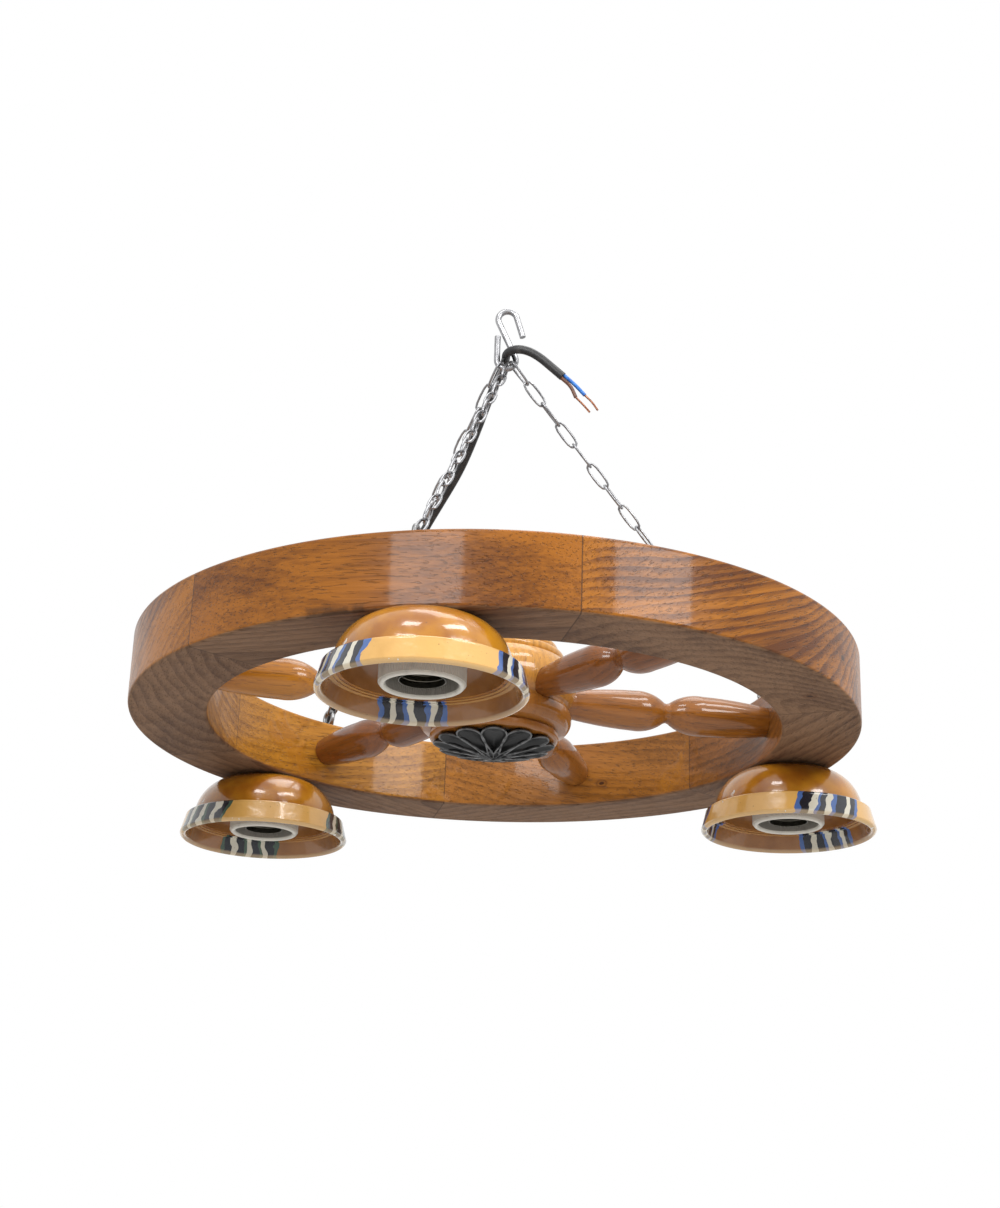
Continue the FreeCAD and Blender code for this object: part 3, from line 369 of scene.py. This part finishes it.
# ---------------------------------------------------------------- dowels and slips
# Beech dowels lie hidden in the felloe joints, and oak slips close the wiring channel in the top of
# the rim.
material, tree, shader, place = surface("plain beech", Roughness=0.6)
beech = grained(tree, place, colour(0.62, 0.42, 0.24), colour(0.42, 0.25, 0.12), 40.0, 0.006)
tree.links.new(beech["Color"], shader.inputs["Base Color"])
dress(["joint_dowels"], material)
material, tree, shader, place = surface("oak slips", Roughness=0.42)
oak = grained(tree, place, colour(0.34, 0.17, 0.07), colour(0.12, 0.05, 0.02), 30.0, 0.012)
tree.links.new(oak["Color"], shader.inputs["Base Color"])
relief(tree, shader, oak["Height"], 0.0004, 0.5)
dress(["channel_slips"], material)

# ---------------------------------------------------------------- hub and spokes
# Turned beech, stained red-brown and varnished. Each spoke has two bellies with a sharp neck
# between, and the hub is a stack of turned beads.
FIRST_SPOKE = 10.7
# tone of each spoke, golden to dark, and heights where painted shade turns the hub darker and redder
SPOKE_TONES = [0.55, 0.60, 0.85, 0.05, 0.50, 0.80]
HUB_SHADE_START, HUB_SHADE_FULL = -0.285, -0.318


def turned_finish(title, rotation, shift, light, dark):
    material, tree, shader, place = surface(title, IOR=1.45, Specular_IOR_Level=0.25,
                                            Coat_Weight=0.60, Coat_Roughness=0.06)
    laid = put(tree, "Mapping", {"Vector": place, "Rotation": rotation, "Location": shift})
    wood = grained(tree, laid.outputs[0], light, dark, 60.0, 0.014, 0.7, 0.28)
    worn = mask(tree, noise(tree, place, 38.0, 4.0, 0.62), 0.60, 0.80)
    tree.links.new(tint(tree, calc(tree, "MULTIPLY", worn, 0.35), wood["Color"],
                        colour(0.42, 0.20, 0.085)), shader.inputs["Base Color"])
    tree.links.new(calc(tree, "MULTIPLY_ADD", noise(tree, place, 70.0, 3.0), 0.2, 0.24),
                   shader.inputs["Roughness"])
    relief(tree, shader, wood["Height"], 0.0004, 0.5)
    return material


for number, deep in enumerate(SPOKE_TONES):
    way = math.radians(FIRST_SPOKE + 60.0 * number - 90.0)
    dress(["spoke_%d" % (number + 1)], turned_finish(
        "turned spoke %d" % (number + 1), (0.0, 0.0, -way), (0.021, 0.3 * number, 0.318),
        colour(0.42 - 0.24 * deep, 0.160 - 0.11 * deep, 0.012),
        colour(0.20 - 0.12 * deep, 0.062 - 0.040 * deep, 0.004)))
hub_wood = turned_finish("turned hub", (math.pi / 2, 0.0, 0.0), (0.060, 0.0, 0.08),
                         colour(0.66, 0.320, 0.060), colour(0.38, 0.150, 0.020))
tree = hub_wood.node_tree
shader = tree.nodes["Principled BSDF"]
golden = shader.inputs["Base Color"].links[0].from_socket
# painted shade: the hub's lower beads are turned darker and redder down to its foot
height = put(tree, "SeparateXYZ", {0: put(tree, "TexCoord").outputs["Object"]}).outputs["Z"]
tree.links.new(tint(tree, mask(tree, height, HUB_SHADE_START, HUB_SHADE_FULL), golden,
                    tint(tree, 0.85, golden, colour(0.230, 0.070, 0.008))),
               shader.inputs["Base Color"])
dress(["hub"], hub_wood)

# ---------------------------------------------------------------- rosette and its screw
# Cast rosette of twelve spoon-shaped petals that bulge towards a small fan of a centre,
# painted satin black, with a painted highlight in grey patches along the lips.
PETALS = 12
PETAL_LONG, PETAL_WIDE, PETAL_DEEP = 0.0192, 0.0073, 0.0060
PETAL_MIDDLE, PETAL_TILT = 0.0236, math.radians(14.0)
PETAL_HEIGHT = RIM_BOTTOM - 0.0128
PETAL_WALL, PETAL_TAPER = 0.0011, 0.90
LIP_LEVEL = PETAL_HEIGHT - PETAL_MIDDLE * math.tan(PETAL_TILT)
FAN_SHARE, FAN_MIDDLE, FAN_HEIGHT = 0.27, 0.0062, PETAL_HEIGHT - 0.0046
BACK_RADIUS, BACK_DEPTH, BACK_HEIGHT = 0.034, 0.0008, RIM_BOTTOM - 0.0064


def petal(share, middle, height, turn):
    """One spoon: half a ball, drawn out, tapered towards the middle and given a wall."""
    bpy.ops.object.select_all(action="DESELECT")
    bpy.ops.mesh.primitive_uv_sphere_add(
        segments=28, ring_count=14, radius=1.0,
        scale=(PETAL_LONG * share, PETAL_WIDE * share, PETAL_DEEP * share))
    spoon = bpy.context.active_object
    bpy.ops.object.transform_apply(location=True, rotation=True, scale=True)
    bpy.ops.object.mode_set(mode="EDIT")
    bpy.ops.mesh.select_all(action="SELECT")
    bpy.ops.mesh.bisect(plane_co=(0, 0, 0), plane_no=(0, 0, -1), clear_outer=True)
    bpy.ops.object.mode_set(mode="OBJECT")
    for vertex in spoon.data.vertices:
        vertex.co.y *= 1.0 + PETAL_TAPER * vertex.co.x / (PETAL_LONG * share)
    wall = spoon.modifiers.new("wall", "SOLIDIFY")
    wall.thickness = PETAL_WALL * share
    wall.offset = -1.0
    bpy.ops.object.modifier_apply(modifier=wall.name)
    tipped = Matrix.Rotation(-PETAL_TILT, 4, "Y")
    spun = Matrix.Rotation(turn, 4, "Z")
    spoon.matrix_world = spun @ Matrix.Translation((middle, 0.0, height)) @ tipped
    bpy.ops.object.transform_apply(location=True, rotation=True, scale=True)
    return spoon


cast = []
for number in range(PETALS):
    turn = math.tau * number / PETALS
    cast.append(petal(1.0, PETAL_MIDDLE, PETAL_HEIGHT, turn))
    cast.append(petal(FAN_SHARE, FAN_MIDDLE, FAN_HEIGHT, turn + math.pi / PETALS))
bpy.ops.object.select_all(action="DESELECT")
bpy.ops.mesh.primitive_cylinder_add(vertices=48, radius=BACK_RADIUS, depth=BACK_DEPTH,
                                    location=(0.0, 0.0, BACK_HEIGHT))
cast.append(bpy.context.active_object)
bpy.ops.object.transform_apply(location=True, rotation=True, scale=True)
for part in cast:
    part.select_set(True)
bpy.context.view_layer.objects.active = cast[0]
bpy.ops.object.join()
rosette = bpy.context.active_object
rosette.name = rosette.data.name = "rosette_petals"
bpy.ops.object.shade_smooth_by_angle(angle=math.radians(40))
material, tree, shader, place = surface("black cast rosette", Roughness=0.34,
                                        Specular_IOR_Level=0.45)
height = put(tree, "SeparateXYZ", {0: place}).outputs["Z"]
slope = calc(tree, "MULTIPLY", far_from_axis(tree, place), math.tan(PETAL_TILT))
rise = calc(tree, "SUBTRACT", height, slope)
# painted highlight: grey patches along the lowest edge of each petal's lip
lip = calc(tree, "MULTIPLY", mask(tree, rise, LIP_LEVEL + 0.0010, LIP_LEVEL + 0.0002),
           mask(tree, noise(tree, place, 210.0, 3.0), 0.30, 0.60))
tree.links.new(tint(tree, calc(tree, "MULTIPLY", lip, 0.60), colour(0.014, 0.014, 0.014),
                    colour(0.22, 0.22, 0.22)), shader.inputs["Base Color"])
tree.links.new(calc(tree, "MULTIPLY_ADD", noise(tree, place, 120.0, 4.0), 0.3, 0.2),
               shader.inputs["Roughness"])
relief(tree, shader, noise(tree, place, 330.0, 4.0, 0.6), 0.0005, 0.35)
rosette.data.materials.clear()
rosette.data.materials.append(material)
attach(rosette, "lamp")
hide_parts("rosette")
material, tree, shader, place = surface("blackened screw", metallic=0.8, Roughness=0.4)
tree.links.new(tint(tree, noise(tree, place, 600.0), colour(0.02, 0.02, 0.02),
                    colour(0.09, 0.085, 0.08)), shader.inputs["Base Color"])
dress(["rosette_screw"], material)

# ---------------------------------------------------------------- shades
# Thrown stoneware with a glossy amber glaze, a paler ochre band, and three groups of hand-painted
# cobalt, black and cream stripes on each band, which run over the lip and up the inside.
LAMP_CIRCLE = 0.2264
LAMPS = [19.2, 139.2, 259.2]
SHADE_SHOULDER = RIM_BOTTOM - 0.0290
MOUTH = RIM_BOTTOM - 0.0455
AMBER = colour(0.540, 0.225, 0.010)
AMBER_DEEP = colour(0.330, 0.105, 0.005)
OCHRE = colour(0.730, 0.410, 0.110)
TAN = colour(0.350, 0.150, 0.040)
TAN_DEEP = colour(0.240, 0.095, 0.024)
CREAM = colour(0.700, 0.660, 0.540)
COBALT = colour(0.060, 0.135, 0.370)
INK = colour(0.008, 0.010, 0.018)
PINE = colour(0.060, 0.110, 0.075)
# azimuth of the middle of one group on each shade, its second colour, and how far strokes lean
GROUP_MIDDLES = [291.0, 229.0, 219.0]
SECOND_COLOURS = [COBALT, PINE, COBALT]
STROKE_LEAN = 3.0


def steps(tree, value, stops):
    """Colour ramp with hard steps."""
    made = put(tree, "ValToRGB", {0: value})
    made.color_ramp.interpolation = "CONSTANT"
    elements = made.color_ramp.elements
    while len(elements) < len(stops):
        elements.new(0.5)
    for element, (position, _) in zip(elements, stops):
        element.position = position
    for element, (_, paint) in zip(elements, stops):
        element.color = paint
    return made.outputs["Color"]


for number, (azimuth, middle, second) in enumerate(zip(LAMPS, GROUP_MIDDLES, SECOND_COLOURS), 1):
    centre = Vector((LAMP_CIRCLE * math.cos(math.radians(azimuth)),
                     LAMP_CIRCLE * math.sin(math.radians(azimuth)), 0.0))
    material, tree, shader, place = surface("glazed shade %d" % number, IOR=1.5, Coat_Weight=0.7,
                                            Coat_Roughness=0.03)
    local = put(tree, "VectorMath", {0: place, 1: centre}, operation="SUBTRACT").outputs[0]
    spread = put(tree, "SeparateXYZ", {0: local}).outputs
    radius = far_from_axis(tree, local)
    wobble = noise(tree, local, 42.0, 2.0)
    height = calc(tree, "ADD", spread["Z"], calc(tree, "MULTIPLY_ADD", wobble, 0.0016, -0.0008))
    # share of a turn from the middle of a group, folded three times
    spin = calc(tree, "ARCTAN2", spread["Y"], spread["X"])
    turn_share = calc(tree, "MULTIPLY_ADD", spin, 3.0 / (2 * math.pi), 0.5 - 3.0 * middle / 360.0)
    turn_share = calc(tree, "ADD", turn_share,
                      calc(tree, "MULTIPLY_ADD", noise(tree, local, 72.0, 2.0), 0.090, -0.045))
    facing = put(tree, "NewGeometry").outputs["Normal"]
    flat = put(tree, "VectorMath", {0: local, 1: (1.0, 1.0, 0.0)}, operation="MULTIPLY").outputs[0]
    outward = put(tree, "VectorMath", {0: facing, 1: flat},
                  operation="DOT_PRODUCT").outputs["Value"]
    out_side = mask(tree, outward, -0.004, 0.004)
    # strokes on the outside lean as the brush left them
    leaning = calc(tree, "MULTIPLY", calc(tree, "SUBTRACT", spread["Z"], MOUTH + 0.008),
                   calc(tree, "MULTIPLY", out_side, STROKE_LEAN))
    turn_share = calc(tree, "SUBTRACT", turn_share, leaning)
    in_group = calc(tree, "FRACT", calc(tree, "ADD", turn_share, 10.0))
    stripes = steps(tree, in_group, [
        (0.000, OCHRE), (0.300, second), (0.325, INK), (0.365, CREAM), (0.400, second),
        (0.420, INK), (0.465, CREAM), (0.505, second), (0.530, INK), (0.575, CREAM),
        (0.612, INK), (0.650, second), (0.675, OCHRE)])
    plain = steps(tree, in_group, [(0.0, colour(0, 0, 0)), (0.300, colour(1, 1, 1)),
                                   (0.675, colour(0, 0, 0))])
    cloud = noise(tree, local, 30.0, 3.0, 0.6)
    dome = tint(tree, mask(tree, cloud, 0.35, 0.7), AMBER, AMBER_DEEP)
    inside = tint(tree, mask(tree, cloud, 0.35, 0.7), TAN, TAN_DEEP)
    band_clear = tint(tree, mask(tree, cloud, 0.45, 0.8), OCHRE, colour(0.560, 0.290, 0.060))
    outside_band = mask(tree, height, SHADE_SHOULDER + 0.0004, SHADE_SHOULDER - 0.0004)
    glaze = tint(tree, out_side, inside, dome)
    ring_paint = calc(tree, "MULTIPLY", outside_band, mask(tree, radius, 0.0500, 0.0505))
    banded = tint(tree, plain, band_clear, stripes)
    inner_band = tint(tree, plain, inside, stripes)
    glaze = tint(tree, ring_paint, glaze, tint(tree, out_side, inner_band, banded))
    # cream lip where the glaze runs thin, cream foot against the rim
    lip = calc(tree, "MULTIPLY", mask(tree, height, MOUTH + 0.0030, MOUTH + 0.0012),
               mask(tree, radius, 0.0560, 0.0570))
    glaze = tint(tree, calc(tree, "MULTIPLY", lip, 0.45), glaze, colour(0.600, 0.420, 0.210))
    foot_edge = calc(tree, "MULTIPLY", out_side, mask(tree, height, RIM_BOTTOM - 0.0022,
                                                      RIM_BOTTOM - 0.0010))
    glaze = tint(tree, calc(tree, "MULTIPLY", foot_edge, 0.8), glaze, CREAM)
    # chips down to the white body, mostly on the band
    chip = mask(tree, noise(tree, local, 48.0, 5.0, 0.7), 0.660, 0.668)
    chip = calc(tree, "MULTIPLY", chip, calc(tree, "MAXIMUM", ring_paint,
                                             mask(tree, noise(tree, local, 9.0), 0.6, 0.62)))
    chip = calc(tree, "MULTIPLY", chip, out_side)
    glaze = tint(tree, chip, glaze, colour(0.78, 0.74, 0.66))
    speck = mask(tree, noise(tree, local, 700.0, 1.0), 0.74, 0.77)
    glaze = tint(tree, calc(tree, "MULTIPLY", speck, 0.5), glaze, colour(0.10, 0.05, 0.02))
    tree.links.new(glaze, shader.inputs["Base Color"])
    gloss = calc(tree, "MULTIPLY_ADD", cloud, 0.15, 0.16)
    tree.links.new(calc(tree, "MAXIMUM", gloss, calc(tree, "MULTIPLY", chip, 0.8)),
                   shader.inputs["Roughness"])
    relief(tree, shader, calc(tree, "SUBTRACT", noise(tree, local, 75.0, 3.0), chip), 0.0012, 0.5)
    dress(["shade_%d" % number], material)

# ---------------------------------------------------------------- lampholders
# Moulded off-white plastic skirts with fine upright ribs inside and out, an insulating core, a
# nickel-plated screw socket with a rolled thread, and a brass contact leaf.
SKIRT_RADIUS, SKIRT_BORE = 0.0250, 0.0216
SKIRT_TOP, SKIRT_END = RIM_BOTTOM - 0.0085, RIM_BOTTOM - 0.0382
RIBS = 96
RIB_HEIGHT, RIB_WALL, RIB_LAP = 0.00035, 0.0004, 0.0003
THREAD_TOP, THREAD_PITCH, THREAD_TURNS = RIM_BOTTOM - 0.0215, 0.0036, 4
THREAD_RADIUS, THREAD_ROUND = 0.01340, 0.00045


def moulded(title, light, dark):
    material, tree, shader, place = surface(title, Roughness=0.42, IOR=1.5)
    soil = noise(tree, place, 130.0, 4.0, 0.6)
    tree.links.new(tint(tree, mask(tree, soil, 0.5, 0.8), light, dark),
                   shader.inputs["Base Color"])
    tree.links.new(calc(tree, "MULTIPLY_ADD", soil, 0.2, 0.32), shader.inputs["Roughness"])
    relief(tree, shader, noise(tree, place, 800.0, 2.0), 0.0001, 0.3)
    return material


off_white = moulded("off-white plastic", colour(0.66, 0.62, 0.54), colour(0.50, 0.46, 0.40))
# painted shade: a darker copy of the off-white plastic, for the ribs inside each skirt's bore
shadowed = moulded("plastic in painted shade", colour(0.27, 0.245, 0.21), colour(0.17, 0.155, 0.13))


def ribbed_sleeve(title, radius, way, low, high, centre):
    """Thin sleeve with upright ribs that stand outwards (way 1) or inwards (way -1)."""
    bpy.ops.object.select_all(action="DESELECT")
    bpy.ops.mesh.primitive_cylinder_add(
        vertices=2 * RIBS, radius=radius, depth=high - low, end_fill_type="NOTHING",
        location=(centre[0], centre[1], (low + high) / 2))
    sleeve = bpy.context.active_object
    sleeve.name = sleeve.data.name = title
    bpy.ops.object.transform_apply(location=True, rotation=True, scale=True)
    middle = Vector((centre[0], centre[1], 0.0))
    bpy.ops.object.mode_set(mode="EDIT")
    bpy.ops.mesh.select_all(action="DESELECT")
    bpy.ops.object.mode_set(mode="OBJECT")
    for vertex in sleeve.data.vertices:
        flat = Vector((vertex.co.x, vertex.co.y, 0.0)) - middle
        step = round(math.atan2(flat.y, flat.x) / (math.pi / RIBS))
        vertex.select = step % 2 == 0
    bpy.ops.object.mode_set(mode="EDIT")
    stretch = (radius + way * RIB_HEIGHT) / radius
    bpy.ops.transform.resize(value=(stretch, stretch, 1.0), center_override=middle)
    bpy.ops.object.mode_set(mode="OBJECT")
    wall = sleeve.modifiers.new("wall", "SOLIDIFY")
    wall.thickness = RIB_WALL
    wall.offset = -way
    bpy.ops.object.modifier_apply(modifier=wall.name)
    # inward ribs take the darker copy, the painted shade inside the bore
    sleeve.data.materials.append(off_white if way > 0 else shadowed)
    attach(sleeve, "lamp")


thread_metal, tree, shader, place = surface("nickel-plated brass", metallic=1.0, Roughness=0.3)
tree.links.new(tint(tree, noise(tree, place, 300.0, 3.0), colour(0.10, 0.092, 0.075),
                    colour(0.20, 0.185, 0.150)), shader.inputs["Base Color"])
for number, azimuth in enumerate(LAMPS, 1):
    centre = (LAMP_CIRCLE * math.cos(math.radians(azimuth)),
              LAMP_CIRCLE * math.sin(math.radians(azimuth)))
    ribbed_sleeve("skirt_ribs_%d" % number, SKIRT_RADIUS + RIB_LAP, 1, SKIRT_END, SKIRT_TOP,
                  centre)
    ribbed_sleeve("skirt_inner_ribs_%d" % number, SKIRT_BORE - RIB_LAP, -1, SKIRT_END,
                  SKIRT_TOP - 0.0010, centre)
    rolled = []
    for turn in range(THREAD_TURNS):
        bpy.ops.object.select_all(action="DESELECT")
        bpy.ops.mesh.primitive_torus_add(
            major_radius=THREAD_RADIUS, minor_radius=THREAD_ROUND, major_segments=40,
            minor_segments=8, location=(centre[0], centre[1], THREAD_TOP - THREAD_PITCH * turn))
        rolled.append(bpy.context.active_object)
    bpy.ops.object.select_all(action="DESELECT")
    for ring in rolled:
        ring.select_set(True)
    bpy.context.view_layer.objects.active = rolled[0]
    bpy.ops.object.join()
    bpy.ops.object.transform_apply(location=True, rotation=True, scale=True)
    bpy.ops.object.shade_smooth()
    thread = bpy.context.active_object
    thread.name = thread.data.name = "socket_thread_%d" % number
    thread.data.materials.append(thread_metal)
    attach(thread, "lamp")
dress(["lampholder_skirt_%d" % k for k in (1, 2, 3)], off_white)
dress(["lampholder_core_%d" % k for k in (1, 2, 3)],
      moulded("core plastic", colour(0.10, 0.092, 0.082), colour(0.06, 0.055, 0.050)))
dress(["screw_socket_%d" % k for k in (1, 2, 3)], thread_metal)
material, tree, shader, place = surface("brass leaf", metallic=1.0, Roughness=0.3)
tree.links.new(tint(tree, noise(tree, place, 500.0, 3.0), colour(0.50, 0.34, 0.12),
                    colour(0.72, 0.52, 0.22)), shader.inputs["Base Color"])
dress(["centre_contact_%d" % k for k in (1, 2, 3)], material)

# ---------------------------------------------------------------- threaded tubes and wiring
# Zinc-plated tube, washer and nut clamp each shade and lampholder to the rim. The leads and the
# sleeve over their splice lie under the slips.
dress(["lamp_leads"], moulded("pale lead", colour(0.55, 0.52, 0.45), colour(0.42, 0.40, 0.34)))
dress(["splice_sleeve"], core_finish("black sleeve", colour(0.02, 0.02, 0.02),
                                     colour(0.05, 0.05, 0.05)))


def zinc(title, light, dark, roughness):
    """Bright zinc plating with a dull bloom."""
    material, tree, shader, place = surface(title, metallic=1.0)
    bloom = noise(tree, place, 150.0, 3.0, 0.5)
    tree.links.new(tint(tree, mask(tree, bloom, 0.35, 0.75), light, dark),
                   shader.inputs["Base Color"])
    tree.links.new(calc(tree, "MULTIPLY_ADD", bloom, 0.15, roughness),
                   shader.inputs["Roughness"])
    return material


dress(["threaded_tube_1", "threaded_tube_2", "threaded_tube_3", "tube_washers", "tube_nuts"],
      zinc("zinc-plated tube", colour(0.56, 0.56, 0.54), colour(0.34, 0.33, 0.31), 0.25))

# ---------------------------------------------------------------- chains, screw eyes and S-hook
# Electric-welded chain of 2.2 mm zinc-plated wire. Each chain's links are rounded copies of its CAD
# links. The S-hook is thicker wire, bent cold.
MERGE_WITHIN = 0.00002
chain_metal = zinc("chain zinc", colour(0.36, 0.36, 0.37), colour(0.22, 0.22, 0.23), 0.24)
for name in ("chain_right", "chain_rear_left", "chain_near_left"):
    bpy.ops.object.select_all(action="DESELECT")
    links = nodes[name].copy()
    links.data = nodes[name].data.copy()
    links.name = links.data.name = name + "_links"
    links.parent = None
    for key in list(links.keys()):
        del links[key]
    bpy.context.scene.collection.objects.link(links)
    links.select_set(True)
    bpy.context.view_layer.objects.active = links
    bpy.ops.object.mode_set(mode="EDIT")
    bpy.ops.mesh.select_all(action="SELECT")
    bpy.ops.mesh.remove_doubles(threshold=MERGE_WITHIN)
    bpy.ops.mesh.tris_convert_to_quads()
    bpy.ops.object.mode_set(mode="OBJECT")
    rounder = links.modifiers.new("round wire", "SUBSURF")
    rounder.levels = rounder.render_levels = 1
    bpy.ops.object.modifier_apply(modifier=rounder.name)
    bpy.ops.object.shade_smooth()
    links.data.materials.clear()
    links.data.materials.append(chain_metal)
    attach(links, "lamp")
    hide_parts(name)
dress(["eye_screw_right", "eye_screw_rear_left", "eye_screw_near_left"],
      zinc("screw eye zinc", colour(0.34, 0.34, 0.34), colour(0.20, 0.20, 0.20), 0.26))
dress(["s_hook"], zinc("S-hook zinc", colour(0.40, 0.40, 0.41), colour(0.28, 0.28, 0.29), 0.22))

# ---------------------------------------------------------------- studio
# Pale floor below the lamp, two soft boxes in front, two high ones and one above. The camera and
# mirror-like surfaces see white all round.
FLOOR, FLOOR_SIDE, FLOOR_GLOW = -1.05, 8.0, 0.35
bpy.ops.object.select_all(action="DESELECT")
bpy.ops.mesh.primitive_plane_add(size=FLOOR_SIDE, location=(0.0, 0.0, FLOOR))
floor = bpy.context.active_object
floor.name = floor.data.name = "studio_floor"
material, tree, shader, place = surface("pale floor", Roughness=0.8)
tree.links.new(tint(tree, noise(tree, place, 3.0), colour(0.80, 0.80, 0.80),
                    colour(0.84, 0.84, 0.84)), shader.inputs["Base Color"])
shader.inputs["Emission Color"].default_value = colour(1.0, 1.0, 1.0)
tree.links.new(calc(tree, "MULTIPLY", put(tree, "LightPath").outputs["Is Camera Ray"], FLOOR_GLOW),
               shader.inputs["Emission Strength"])
floor.data.materials.append(material)

world = bpy.data.worlds.new("studio")
bpy.context.scene.world = world
world.use_nodes = True
tree = world.node_tree
rays = put(tree, "LightPath").outputs
seen = calc(tree, "MAXIMUM", rays["Is Camera Ray"],
            calc(tree, "MAXIMUM", rays["Is Glossy Ray"], rays["Is Transmission Ray"]))
tree.links.new(tint(tree, seen, colour(0.50, 0.50, 0.50), colour(1.0, 1.0, 1.0)),
               tree.nodes["Background"].inputs["Color"])


def soft_light(title, place, target, width, height, power):
    lamp = bpy.data.lights.new(title, "AREA")
    lamp.shape = "RECTANGLE"
    lamp.size, lamp.size_y, lamp.energy = width, height, power
    light = bpy.data.objects.new(title, lamp)
    bpy.context.scene.collection.objects.link(light)
    light.location = place
    light.rotation_euler = (Vector(target) - Vector(place)).to_track_quat("-Z", "Y").to_euler()


soft_light("left front box", (-0.57, -1.56, 0.37), (0.0, 0.0, -0.32), 0.60, 0.42, 10.0)
soft_light("right front box", (1.15, -1.20, 0.37), (0.0, 0.0, -0.32), 0.70, 0.42, 12.0)
soft_light("left high box", (-0.33, -0.91, 0.93), (0.0, -0.25, -0.36), 0.42, 0.24, 4.0)
soft_light("right high box", (0.67, -0.69, 0.93), (0.0, -0.25, -0.36), 0.70, 0.24, 6.5)
soft_light("top", (0.3, 0.3, 1.5), (0.0, 0.0, -0.30), 1.0, 1.0, 9.0)

bpy.context.scene.view_settings.view_transform = "Standard"
